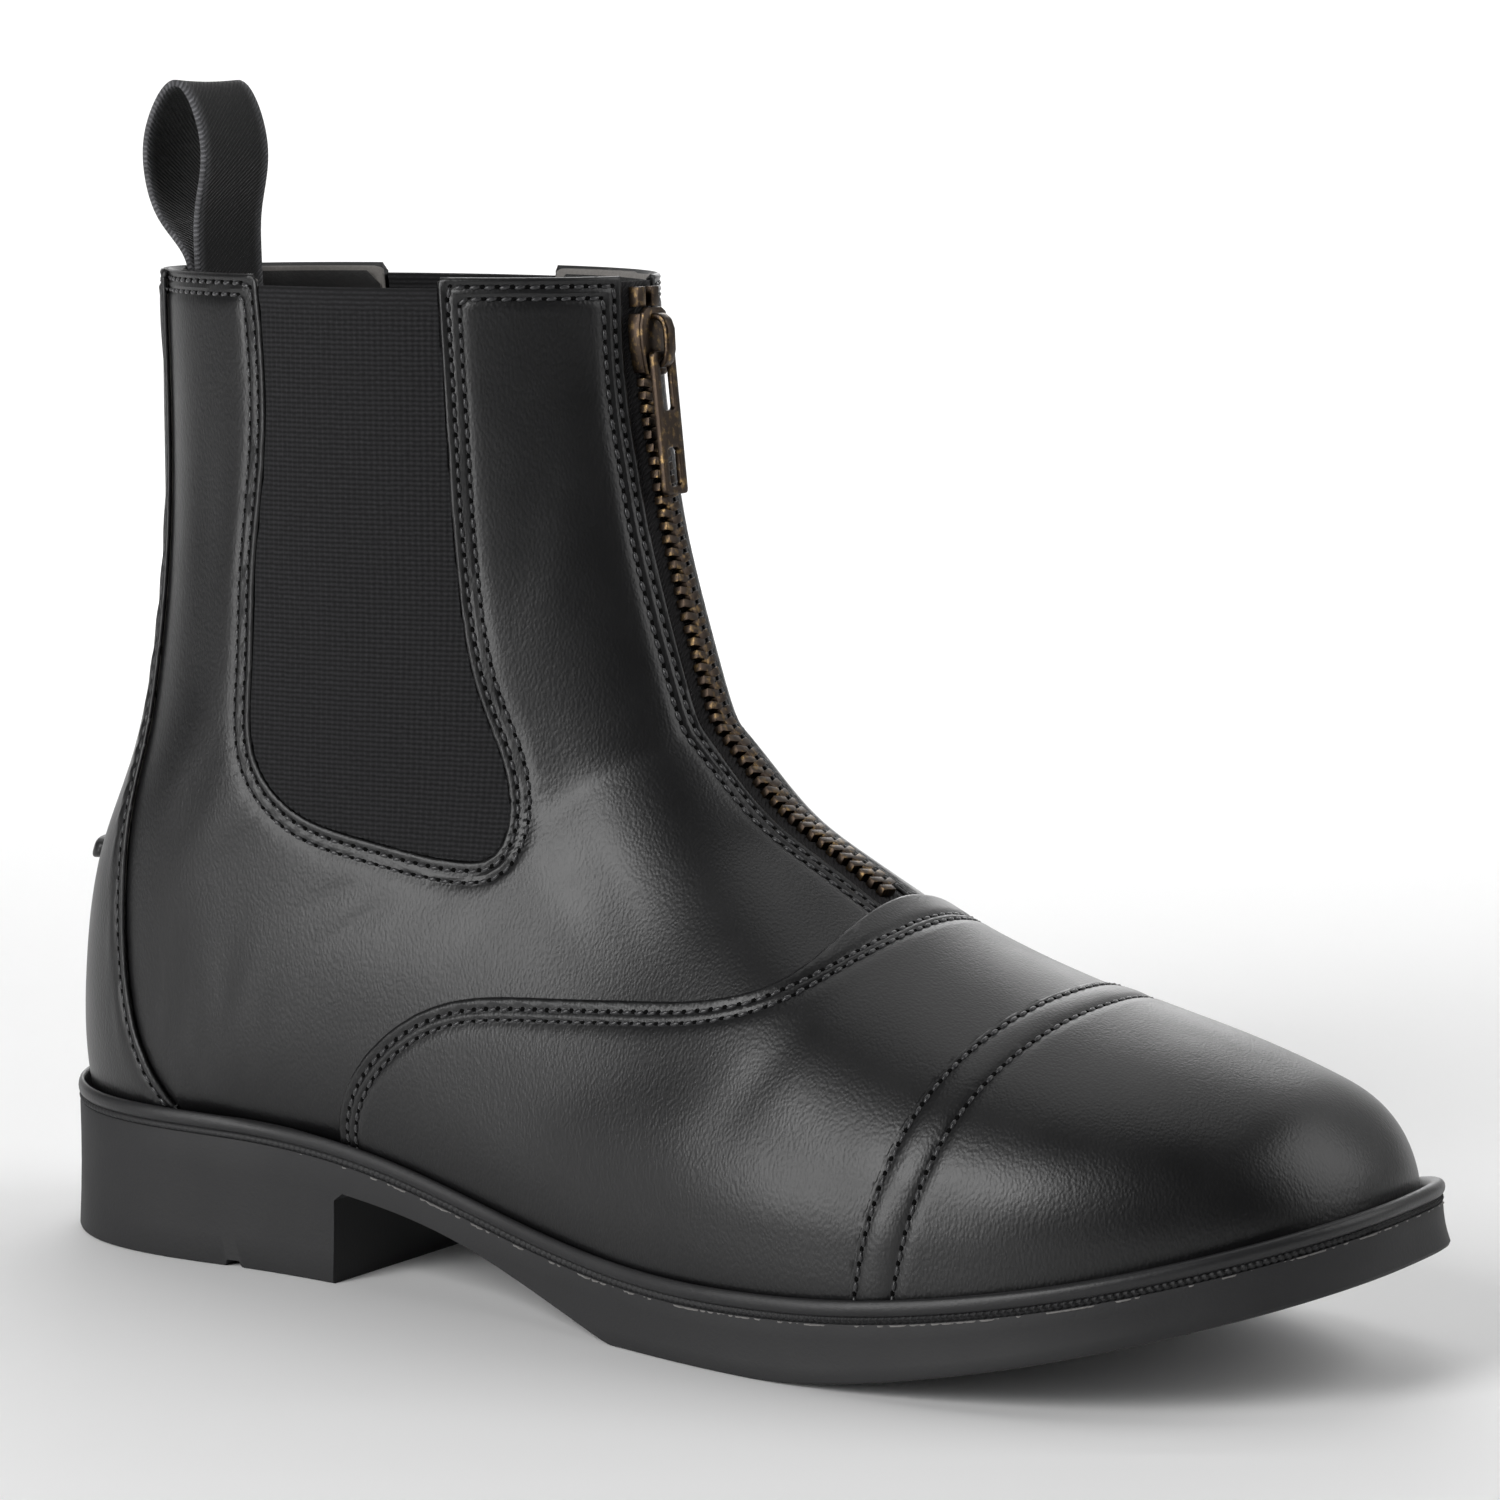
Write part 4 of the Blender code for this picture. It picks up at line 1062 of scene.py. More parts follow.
def twill_tape(name, colour, pale, half_width, pitch):
    """Woven tape on its own map, across and along in metres: diagonal threads, with paler rubbed edges."""
    made, tree, _ = new_material(name)
    place = node(tree, "ShaderNodeUVMap", uv_map="tape").outputs["UV"]
    aslant = node(tree, "ShaderNodeMapping", {"Vector": place, "Rotation": (0.0, 0.0, np.radians(52.0))})
    threads = node(
        tree, "ShaderNodeTexWave",
        {
            "Vector": aslant.outputs["Vector"],
            "Scale": wave_scale(pitch),
            "Distortion": 0.6,
            "Detail": 1.0,
            "Detail Scale": 2.0,
        },
    ).outputs["Fac"]
    fuzz = node(
        tree, "ShaderNodeTexNoise", {"Vector": place, "Scale": 1 / 0.0009, "Detail": 4.0}
    ).outputs["Fac"]
    split = node(tree, "ShaderNodeSeparateXYZ", {"Vector": place})
    away = node(tree, "ShaderNodeMath", {0: split.outputs["X"]}, operation="ABSOLUTE")
    rubbed = node(
        tree, "ShaderNodeMapRange",
        {
            "Value": away.outputs["Value"],
            "From Min": half_width - 0.0025,
            "From Max": half_width,
            "To Max": 0.9,
        },
        interpolation_type="SMOOTHSTEP",
    )
    worn = node(tree, "ShaderNodeMath", {0: rubbed.outputs["Result"], 1: fuzz}, operation="MULTIPLY")
    base = node(
        tree, "ShaderNodeMix",
        {"Factor": worn.outputs["Value"], "A": toned(colour), "B": toned(pale)},
        data_type="RGBA",
    )
    dark = node(
        tree, "ShaderNodeMix",
        {"Factor": threads, "A": (0.35, 0.35, 0.35, 1.0), "B": (1.0, 1.0, 1.0, 1.0)},
        data_type="RGBA",
    )
    shaded = node(
        tree, "ShaderNodeMix",
        {"Factor": 1.0, "A": base.outputs["Result"], "B": dark.outputs["Result"]},
        data_type="RGBA", blend_type="MULTIPLY",
    )
    relief = node(tree, "ShaderNodeMath", {0: fuzz, 1: 0.5, 2: threads}, operation="MULTIPLY_ADD")
    bump = node(
        tree, "ShaderNodeBump", {"Strength": 0.8, "Distance": 0.0003, "Height": relief.outputs["Value"]}
    )
    return finished(
        made,
        {
            "Base Color": shaded.outputs["Result"],
            "Roughness": 0.85,
            "Sheen Weight": 0.1,
            "Sheen Roughness": 0.4,
            "Normal": bump.outputs["Normal"],
        },
    )


@lru_cache(maxsize=None)
def antique_brass():
    """Tarnished brass: brown bronze patina, rubbed to bright gold in patches, with a satin face."""
    colours = boot_colours()
    made, tree, place = new_material("antique_brass")
    patina = node(
        tree, "ShaderNodeTexNoise", {"Vector": place, "Scale": 1 / 0.0016, "Detail": 4.0, "Roughness": 0.65}
    ).outputs["Fac"]
    rubbed = node(tree, "ShaderNodeMapRange", {"Value": patina, "From Min": 0.52, "From Max": 0.8})
    mixed = node(
        tree, "ShaderNodeMix",
        {"Factor": rubbed.outputs["Result"], "A": toned(colours.brass), "B": toned(colours.brass_worn)},
        data_type="RGBA",
    )
    satin = node(tree, "ShaderNodeMapRange", {"Value": patina, "To Min": 0.5, "To Max": 0.26})
    bump = node(tree, "ShaderNodeBump", {"Strength": 0.15, "Distance": 0.0002, "Height": patina})
    return finished(
        made,
        {
            "Base Color": mixed.outputs["Result"],
            "Metallic": 1.0,
            "Roughness": satin.outputs["Result"],
            "Normal": bump.outputs["Normal"],
        },
    )


def leather_faces():
    """Materials of a leather sheet: its grain side, its back and its cut edges."""
    return [grained_leather(), raw_leather_edge(), inked_edge()]


def stitch_faces():
    """Materials of a row of stitches: the thread and the painted shade of the needle holes."""
    return [waxed_thread(), needle_hole_painted_shade()]


def panel_distance(form, line):
    """Distance over the leather from a panel's edge, positive inside the panel."""
    points, normals, _ = form
    return -side_distance(points, normals, line)


def opening_distance(form):
    """Distance over the leather from the gussets, the zip and the collar, whichever is nearest."""
    points, _, across = form
    edge = smooth_line(GUSSET_EDGE, 90)
    outer, inner = (panel_distance(form, edge + (shift, 0)) for shift in (0.0, INNER_GUSSET_SHIFT))
    gusset = np.where(across < 0, outer, inner)
    ridge = points[:, points.shape[1] // 2]
    run = along(ridge)
    foot = np.interp(SLIT_FOOT_Z, ridge[:, 2], run)
    slit = np.maximum(np.abs(across) - SLIT_HALF_WIDTH, (foot - run)[:, None])
    return np.minimum(np.minimum(gusset, slit), COLLAR_Z - points[..., 2])


def quarter_lift(field):
    """Rounded edges, and the rows of stitches with the leather puffed up between them."""
    depth = boot_sizes().seam_depth / MM
    edge = field["edge"]
    near, far = STITCH_ROWS
    puff = 0.14 * np.exp(-(((edge - (near + far) / 2) / 0.7) ** 2))
    return -rounded(edge) - seam(edge - near, depth) - seam(edge - far, depth) + puff


def make_quarters():
    """Quarters: grained leather with two rows of stitches round its openings, and the lining behind it."""
    form = last_form(*FINE)
    vamp = panel_distance(form, smooth_line(VAMP_EDGE, 80))
    bm = form_sheet(form, edge=opening_distance(form), vamp=vamp)
    keep(bm, "vamp", -np.inf, 8.0)
    near, far = STITCH_ROWS
    cut_along(bm, "edge", *EDGE_CUTS, near - 0.5, near, (near + far) / 2, far, far + 0.7)
    keep(bm, "edge", 0.0)
    shaped(bm, quarter_lift)
    thread = bmesh.new()
    for row in STITCH_ROWS:
        sew(thread, lines_on(bm, "edge", row))
    add_piece("quarters", bm, leather_faces(), 60.0, nodes=("upper",), wall=(QUARTER_WALL, -1.0))
    add_piece("quarter_stitches", thread, stitch_faces(), 180.0)

    form = last_form(*COARSE)
    bm = form_sheet(form, edge=opening_distance(form))
    cut_along(bm, "edge", LINING_INSET)
    keep(bm, "edge", LINING_INSET)
    shaped(bm, lambda field: -LINING_DEPTH)
    faces = [suede_lining(), suede_lining(), raw_leather_edge()]
    add_piece("lining", bm, faces, 60.0, wall=(LINING_WALL, -1.0))


def overlay(name, form, edge, rows, rise, thickness, swell, row=None, under=None):
    """Leather panel laid over the quarters: cut to its edge, rounded there, and stitched along its rows.

    It swells at a distance from its edge, by a height, and ends where it is well under another panel.
    """
    depth = boot_sizes().seam_depth / MM
    swell_at, swell_height = swell
    fields = {"edge": edge, "row": edge if row is None else row}
    if under is not None:
        fields["under"] = under
    bm = form_sheet(form, **fields)
    keep(bm, "edge", -3.0)
    if under is not None:
        keep(bm, "under", -np.inf, 1.5)
    cut_along(bm, "edge", *EDGE_CUTS)
    keep(bm, "edge", 0.0)
    for at in rows:
        cut_along(bm, "row", at - 0.6, at, at + 0.6)

    def lift(field):
        level = rise - rounded(field["edge"])
        for at in rows:
            level = level - seam(field["row"] - at, depth)
        return level + swell_height * np.exp(-(((field["row"] - swell_at) / 0.8) ** 2))

    shaped(bm, lift)
    thread = bmesh.new()
    for at in rows:
        sew(thread, lines_on(bm, "row", at))
    add_piece(f"{name}_panel", bm, leather_faces(), 60.0, nodes=(name,), wall=(thickness, -1.0))
    add_piece(f"{name}_stitches", thread, stitch_faces(), 180.0)


def make_overlays():
    """Vamp, toe cap, back strip and spur rest."""
    form = last_form(*FINE)
    z = form[0][..., 2]
    vamp = panel_distance(form, smooth_line(VAMP_EDGE, 80))
    cap = panel_distance(form, smooth_line(CAP_EDGE, 50))
    strip = panel_distance(form, smooth_line(BACK_STRIP_EDGE, 60))
    # Towards the ridge the vamp's edge runs on past its seam as a loose flap over the end of the zip
    flap = 5.5 * eased(z, 63.0, 76.0)
    overlay("vamp", form, vamp, (2.2, 4.1), 1.3, 1.15, (3.15, 0.22), row=vamp - flap, under=cap)
    overlay("toe_cap", form, cap, (1.3, 8.2), 1.9, 1.7, (4.7, 0.1))
    overlay("back_strip", form, np.minimum(strip, COLLAR_Z - z), (2.0,), 1.3, 1.15, (3.6, 0.3))
    make_spur_rest()


@lru_cache(maxsize=None)
def form_tree():
    """The form as a search tree, to find its surface from any side."""
    points, _, _ = last_form(*FINE)
    rows, columns = points.shape[:2]
    index = np.arange(rows * columns).reshape(rows, columns)
    corners = index[:-1, :-1], index[:-1, 1:], index[1:, 1:], index[1:, :-1]
    quads = np.stack(corners, axis=-1).reshape(-1, 4)
    return BVHTree.FromPolygons([Vector(p) for p in points.reshape(-1, 3)], quads.tolist())


def surface_at(origins, heading):
    """Points where rays from these places meet the form."""
    tree = form_tree()
    found = np.empty_like(origins)
    for index in np.ndindex(origins.shape[:-1]):
        hit = tree.ray_cast(Vector(origins[index]), Vector(heading))[0]
        if hit is None:
            raise RuntimeError(f"no surface at {origins[index]}")
        found[index] = hit
    return found


def lofted(rows, capped=False):
    """Surface through rows of points, closed round each row, and over its ends where asked."""
    rows = np.asarray(rows, float)
    if capped:
        ends = rows[[0, -1]].mean(axis=1, keepdims=True).repeat(rows.shape[1], axis=1)
        rows = np.concatenate([ends[:1], rows, ends[1:]])
    bm = sheet(np.concatenate([rows, rows[:, :1]], axis=1))
    bmesh.ops.remove_doubles(bm, verts=bm.verts, dist=LOFT_WELD)
    bmesh.ops.recalc_face_normals(bm, faces=bm.faces)
    return bm


def squared(wave):
    """A wave with fuller shoulders."""
    return np.sign(wave) * np.abs(wave) ** 0.6


def make_spur_rest():
    """Rounded leather ledge across the back of the heel that holds up a spur."""
    turn = np.linspace(0, 2 * np.pi, 25)[:-1]
    rows = []
    for y in SPUR_REST_HALF * np.sin(np.linspace(-np.pi / 2, np.pi / 2, 33)):
        taper = max(1 - (abs(y) / (SPUR_REST_HALF + 0.1)) ** 12, 0.02) ** 0.5
        up = SPUR_REST_Z + 2.2 * squared(np.sin(turn)) * taper
        out = 1.5 + 1.45 * taper * (1 + squared(np.cos(turn)))
        behind = np.stack(np.broadcast_arrays(OUTSIDE_X, y, up), axis=1)
        middle = surface_at(np.array([[OUTSIDE_X, y, SPUR_REST_Z]]), (1, 0, 0))[0]
        lean = unit(np.array([middle[0] - SPUR_REST_CENTRE_X, middle[1], 0.0]))
        rows.append(surface_at(behind, (1, 0, 0)) + lean * out[:, None])
    bm = lofted(rows, capped=True)
    add_piece("spur_rest_ledge", bm, [grained_leather()], 60.0, nodes=("spur_rest",))


def make_gussets():
    """Ribbed elastic set into each side, with a plain woven hem at the top."""
    pitch = boot_sizes().rib_pitch / MM
    edge = smooth_line(GUSSET_EDGE, 90)
    z = np.linspace(79.0, ELASTIC_TOP, 76)
    hem = eased(z, ELASTIC_TOP - 3.4, ELASTIC_TOP - 2.9)[:, None]
    fold = 0.3 * eased(z, ELASTIC_TOP - 0.7, ELASTIC_TOP)[:, None] ** 2
    for side, shift, name in ((-1, 0.0, "gusset_outer"), (1, INNER_GUSSET_SHIFT, "gusset_inner")):
        x = np.arange(63.0, 121.0, pitch / 4) + shift
        origins = np.stack(np.broadcast_arrays(x[None, :], OUTSIDE_Y * side, z[:, None]), axis=-1)
        points = surface_at(origins, (0, -side, 0))
        # The elastic is pulled smoother than the leather round it
        y = points[..., 1]
        for _ in range(6):
            around = y[:-2, 1:-1] + y[2:, 1:-1] + y[1:-1, :-2] + y[1:-1, 2:]
            y[1:-1, 1:-1] = y[1:-1, 1:-1] / 2 + around / 8
        normals = grid_normals(points)
        normals *= np.sign(normals[..., 1] * side)[..., None]
        inside = side_distance(points, normals, edge + (shift, 0))
        ribs = RIB_HEIGHT * (1 - np.abs(2 * ((x - shift) / pitch % 1.0) - 1) ** 3)
        rise = -ELASTIC_DEPTH + ribs[None, :] * (1 - hem) + HEM_RISE * hem - fold
        bm = sheet(points + normals * rise[..., None], inside=inside)
        cut_along(bm, "inside", 0.08)
        keep(bm, "inside", 0.08)
        bmesh.ops.recalc_face_normals(bm, faces=bm.faces)
        if sum(face.normal.y * face.calc_area() for face in bm.faces) * side < 0:
            bmesh.ops.reverse_faces(bm, faces=bm.faces)
        wall = (ELASTIC_WALL, -1.0)
        add_piece(f"{name}_elastic", bm, [ribbed_elastic()], 180.0, nodes=(name,), wall=wall)


def tape_sheet(points, across, run):
    """Sheet of a tape with its own map: across and along it, in metres."""
    across, run = (np.broadcast_to(values, points.shape[:2]) for values in (across, run[:, None]))
    bm = sheet(points, across=across, run=run)
    across_of, run_of = (bm.verts.layers.float[name] for name in ("across", "run"))
    layer = bm.loops.layers.uv.new("tape")
    for face in bm.faces:
        for loop in face.loops:
            loop[layer].uv = (loop.vert[across_of] * MM, loop.vert[run_of] * MM)
    bmesh.ops.recalc_face_normals(bm, faces=bm.faces)
    return bm


def flat_shape(outline, low, high, axis=2):
    """Closed plate from a flat outline, extruded along an axis."""
    bm = bmesh.new()
    plane = [a for a in range(3) if a != axis]
    corners = np.zeros((len(outline), 3))
    corners[:, plane] = outline
    corners[:, axis] = low
    face = bm.faces.new([bm.verts.new(corner) for corner in corners])
    swept = bmesh.ops.extrude_face_region(bm, geom=[face])["geom"]
    shift = Vector([high - low if a == axis else 0 for a in range(3)])
    bmesh.ops.translate(bm, vec=shift, verts=[v for v in swept if isinstance(v, bmesh.types.BMVert)])
    bmesh.ops.recalc_face_normals(bm, faces=bm.faces)
    return bm


def bevelled(bm, offset, segments):
    """Round the sharp edges of a closed shape."""
    sharp = [edge for edge in bm.edges if edge.calc_face_angle(0.0) > np.radians(25.0)]
    bmesh.ops.bevel(
        bm, geom=sharp, offset=offset, affect="EDGES", segments=segments, profile=0.5, material=-1,
        clamp_overlap=True,
    )
    bmesh.ops.dissolve_degenerate(bm, dist=WELD, edges=bm.edges)
    return bm


def joined(bm, other):
    """Add another bmesh to this one."""
    mesh = bpy.data.meshes.new("joined")
    other.to_mesh(mesh)
    other.free()
    bm.from_mesh(mesh)
    bpy.data.meshes.remove(mesh)


def make_zip():
    """Zip on the ridge: woven tape, brass teeth and stops, the slider with its bail, and the pull."""
    make_zip_tape()
    make_zip_teeth()
    base = ridge_frame(ridge_stations(SLIDER_Z, SLIDER_Z + 2.0, 2.0)[0])
    make_slider(base)
    tilt = Matrix.Rotation(-np.radians(PULL_TILT), 4, "Y")
    make_pull(base @ Matrix.Translation((HINGE_DOWN, 0, HINGE_OUT)) @ tilt)


def make_zip_tape():
    """Woven tape of the zip, a little raised under the foot of the teeth."""
    colour = boot_colours().tape
    stations = ridge_stations(SLIT_FOOT_Z + 0.4, COLLAR_Z - 1.0, 1.5)
    across = np.linspace(-TAPE_HALF_WIDTH, TAPE_HALF_WIDTH, 29)
    sag = -1.15 + 0.35 * np.exp(-((np.abs(across) - 2.6) ** 2) / 0.8)
    tape = ridge_bar(stations, np.stack([across, sag], axis=1))
    bm = tape_sheet(tape, across, along(tape[:, len(across) // 2]))
    cloth = twill_tape("zip_tape_twill", colour, colour, SLIT_HALF_WIDTH * MM, 0.0008)
    add_piece("zip_tape_weave", bm, [cloth], 180.0, nodes=("zip_tape",), wall=(0.9, 0.0))


def make_zip_teeth():
    """Two rows of brass teeth that mesh, each a little aslant, and a pair of stops above the slider."""
    pitch = boot_sizes().tooth_pitch / MM
    bm = bmesh.new()
    across, out = TOOTH_PLACE
    for i, station in enumerate(ridge_stations(ZIP_END_Z, SLIDER_Z + 2.0, pitch / 2)):
        side = 1 if i % 2 else -1
        place = ridge_frame(station) @ Matrix.Translation((0, side * across, out))
        slant = Matrix.Rotation(side * TOOTH_SLANT, 4, "Z")
        bmesh.ops.create_cube(bm, size=1, matrix=place @ slant @ Matrix.Diagonal(TOOTH_SIZE))
    across, out = STOP_PLACE
    stop = ridge_frame(ridge_stations(SLIDER_Z + STOP_ABOVE, SLIDER_Z + STOP_ABOVE + 1.0, 1.0)[0])
    for side in (-1, 1):
        place = stop @ Matrix.Translation((0, side * across, out))
        bmesh.ops.create_cube(bm, size=1, matrix=place @ Matrix.Diagonal(STOP_SIZE))
    bevelled(bm, 0.14, 2)
    add_piece("zip_teeth_brass", bm, [antique_brass()], 30.0, nodes=("zip_teeth",))


def make_slider(base):
    """Slider of the zip: a shield, a rail down each side and the bail that holds the pull."""
    shield = np.array(SHIELD + tuple((x, -y) for x, y in reversed(SHIELD)))
    bm = bevelled(flat_shape(shield, 1.7, 2.8), 0.3, 2)
    for side in (-1, 1):
        joined(bm, bevelled(flat_shape(np.array(RAIL) * (1, side), -0.6, 2.0), 0.2, 2))
    joined(bm, bevelled(flat_shape(np.array(BAIL), -1.35, 1.35, 1), 0.45, 3))
    bmesh.ops.transform(bm, matrix=base, verts=bm.verts)
    add_piece("zip_slider_brass", bm, [antique_brass()], 35.0, nodes=("zip_slider",))


def make_pull(hinge):
    """Pull of the zip: a plate with a slot for the bail and a window near its end."""
    x, y = np.array(PULL_ALONG), np.array(PULL_ACROSS)
    bm = sheet(np.stack(np.broadcast_arrays(x[:, None], y[None, :], 0.0), axis=-1))
    holes = []
    for face in bm.faces:
        middle = face.calc_center_median()
        if abs(middle.y) < PULL_ACROSS[2] and any(low < middle.x < high for low, high in PULL_HOLES):
            holes.append(face)
    bmesh.ops.delete(bm, geom=holes, context="FACES")
    bmesh.ops.recalc_face_normals(bm, faces=bm.faces)
    bmesh.ops.solidify(bm, geom=bm.faces[:], thickness=PULL_THICKNESS)
    height = [vert.co.z for vert in bm.verts]
    bmesh.ops.translate(bm, vec=(0, 0, -(max(height) + min(height)) / 2), verts=bm.verts)
    bmesh.ops.recalc_face_normals(bm, faces=bm.faces)
    upright = []
    for edge in bm.edges:
        first, second = edge.verts
        if abs(first.co.z - second.co.z) > PULL_THICKNESS / 2 and edge.calc_face_angle(0.0) > 1.0:
            upright.append(edge)
    bmesh.ops.bevel(bm, geom=upright, offset=0.8, affect="EDGES", segments=3, profile=0.5, material=-1)
    bevelled(bm, 0.22, 2)
    bmesh.ops.transform(bm, matrix=hinge, verts=bm.verts)
    brass = [antique_brass()]
    add_piece("zip_pull_tab", bm, brass, 35.0, nodes=("zip_pull",), body="zip_pull")


def foot_outline(lift):
    """Closed outline of the upper at a lift above its foot, from the toe along the outer side and back."""
    sections = sections_at(front_stations(lift))
    outer, inner = (
        respaced(np.array([section_foot(section, side, lift) for section in sections]), OUTLINE_POINTS)
        for side in (-1, 1)
    )
    return np.concatenate([outer, inner[-2:0:-1]])


def widened(outline, distance):
    """A closed outline moved outwards by a distance, or by one for each point."""
    run = np.roll(outline, -1, axis=0) - np.roll(outline, 1, axis=0)
    out = np.stack([-run[:, 1], run[:, 0]], axis=1) / np.linalg.norm(run, axis=1)[:, None]
    return outline + out * np.reshape(distance, (-1, 1))


def ledge(outline):
    """Sole edge, bead edge and flare at each point of the outline."""
    table = np.array(LEDGES)
    return [np.interp(outline[:, 0], table[:, 0], table[:, column]) for column in (1, 2, 3)]


def ring(outline, rise):
    """Points of an outline at a rise above the sole's top."""
    return np.column_stack([outline, sole_top(outline[:, 0]) + rise])


def spine(points):
    """The middle line of a ring: each point halfway to its partner on the other side."""
    return (points + np.roll(points[::-1], 1, axis=0)) / 2


def cut_out(piece, *cutters):
    """Take other closed shapes out of a finished piece, and leave only the result."""
    for cutter in cutters:
        step = piece.modifiers.new("cut", "BOOLEAN")
        step.operation = "DIFFERENCE"
        step.object = cutter
    bpy.context.view_layer.update()
    mesh = bpy.data.meshes.new_from_object(piece.evaluated_get(bpy.context.evaluated_depsgraph_get()))
    piece.modifiers.clear()
    piece.data = mesh
    for cutter in cutters:
        bpy.data.objects.remove(cutter)


def cutter(name, outline):
    """A side-view outline extruded across the boot, to cut with."""
    return placed(name, flat_shape(outline, -CUTTER_REACH, CUTTER_REACH, 1))


def make_sole():
    """Sole in one with the heel, the bead round its top, the cord and flash under it, and the footbed."""
    foot = foot_outline(0.0)
    make_outsole(foot)
    make_bead(foot)
    make_cord(foot)
    make_footbed(foot)


def make_outsole(foot):
    """Rubber sole and heel in one, its edges rounded, with the arch and a groove across the heel cut out."""
    edge, _, flare = ledge(foot)
    steps = ((0.0, 0.7), (0.2, 0.2), (SOLE_ROUND, 0.0))
    rows = [ring(widened(foot, edge - inset), -drop) for inset, drop in reversed(steps)]
    for share in (0.25, 0.5, 0.75):
        outline = widened(foot, edge + flare * share - SOLE_HOLLOW * np.sin(np.pi * share))
        top = sole_top(outline[:, 0]) - SOLE_ROUND
        low = sole_underside(outline[:, 0]) + SOLE_ROUND
        rows.append(np.column_stack([outline, top + (low - top) * share]))
    for inset, rise in steps:
        outline = widened(foot, edge + flare - inset)
        rows.append(np.column_stack([outline, sole_underside(outline[:, 0]) + rise]))
    bm = lofted([spine(rows[0]), *rows, spine(rows[-1])])
    rubber = moulded_rubber("moulded_rubber", 0.55, 0.75)
    sole = add_piece("sole", bm, [rubber], 50.0, nodes=("outsole",))
    arch = smooth_line(ARCH, 40)
    breast = [(HEEL_BREAST_X, BELOW_FLOOR), (HEEL_BREAST_X, HEEL_BREAST_TOP)]
    arch = np.concatenate([breast, arch, [(arch[-1, 0], BELOW_FLOOR)]])
    groove = np.array(HEEL_GROOVE) + (HEEL_GROOVE_X, 0)
    cut_out(sole, cutter("arch", arch), cutter("groove", groove))
    smoothed(sole.data, 38.0)


def make_bead(foot):
    """Glossy bead of rubber that stands up round the foot of the upper."""
    edge, inner, _ = ledge(foot)
    foot_high = foot_outline(BEAD_SHOULDER)
    inner_high = widened(foot_high, ledge(foot_high)[1])
    outer = edge + BEAD_PROUD
    brim = widened(foot, outer)
    crown = (inner_high + brim) / 2
    rings = [
        ring(widened(foot, inner), GAP),
        ring(inner_high, BEAD_SHOULDER - 0.5),
        ring(inner_high * 0.8 + crown * 0.2, BEAD_SHOULDER + 0.3),
        ring(inner_high * 0.4 + crown * 0.6, BEAD_HEIGHT - 0.15),
    ]
    for turn in np.radians((0, 18, 36, 54, 72, 90)):
        rise = BEAD_MIDDLE + (BEAD_HEIGHT - BEAD_MIDDLE) * np.cos(turn)
        rings.append(ring(crown + (brim - crown) * np.sin(turn), rise))
    for turn in np.radians((22, 45, 68, 90)):
        rise = BEAD_MIDDLE - (BEAD_MIDDLE - BEAD_FOOT) * np.sin(turn)
        rings.append(ring(widened(foot, outer - BEAD_UNDERCUT * (1 - np.cos(turn))), rise))
    rings += [ring(widened(foot, outer - 1.0), GAP), rings[0]]
    bead = moulded_rubber("glossy_bead_rubber", 0.34, 0.5)
    add_piece("welt_bead", lofted(rings), [bead], 60.0, nodes=("welt",))


def make_cord(foot):
    """Twisted cord moulded into the notch under the bead, and the torn flash below it."""
    pitch = boot_sizes().cord_pitch / MM
    brim = widened(foot, ledge(foot)[0] + BEAD_PROUD)
    closed = np.concatenate([brim, brim[:1]])
    run = along(closed)
    at = np.linspace(0, run[-1], int(run[-1] / pitch) * 4 + 1)[:-1]
    outline = point_at(run, closed, at)
    clear = eased(outline[:, 0], 45.0, 110.0) * 0.75 + 0.25
    rows = []
    for rise, inward, phase in CORD_TURN:
        notch = CORD_NOTCH * clear * (0.5 - 0.5 * np.cos(2 * np.pi * (at / pitch + phase)))
        rows.append(ring(widened(outline, -inward - notch * (inward < 0.9)), rise))
    back = widened(outline, -CORD_BACK)
    rows += [np.column_stack([back, rows[-1][:, 2]]), np.column_stack([back, rows[0][:, 2]]), rows[0]]
    add_piece("welt_cord", lofted(rows), [moulded_rubber("cord_rubber", 0.5, 0.7)], 70.0)

    tears = np.array([noise.noise(Vector((x * 0.2, y * 0.2, 3.0))) for x, y in outline])
    shreds = np.array([noise.noise(Vector((x * 0.9, y * 0.9, 7.0))) for x, y in outline])
    heel_fade = 0.6 * (1 - eased(outline[:, 0], 60.0, 100.0))
    torn = 0.45 + np.clip(0.6 * tears + 0.5 * shreds, -0.45, 0.5) + heel_fade
    rows = []
    for rise, inward in FLASH_TURN:
        rows.append(ring(widened(outline, -(torn if inward is None else inward)), rise))
    add_piece("welt_flash", lofted(rows), [torn_flash()], 70.0)


def make_footbed(foot):
    """Suede footbed on the sole, inside the upper."""
    low = ring(widened(foot, -FOOTBED_INSET), GAP)
    top = ring(widened(foot, -FOOTBED_INSET - FOOTBED_BEVEL), GAP + FOOTBED_TOP)
    rows = [top, low + (0, 0, FOOTBED_EDGE), low]
    bm = lofted([spine(top), *rows, spine(low)])
    add_piece("footbed", bm, [suede_lining()], 50.0, nodes=("insole",))


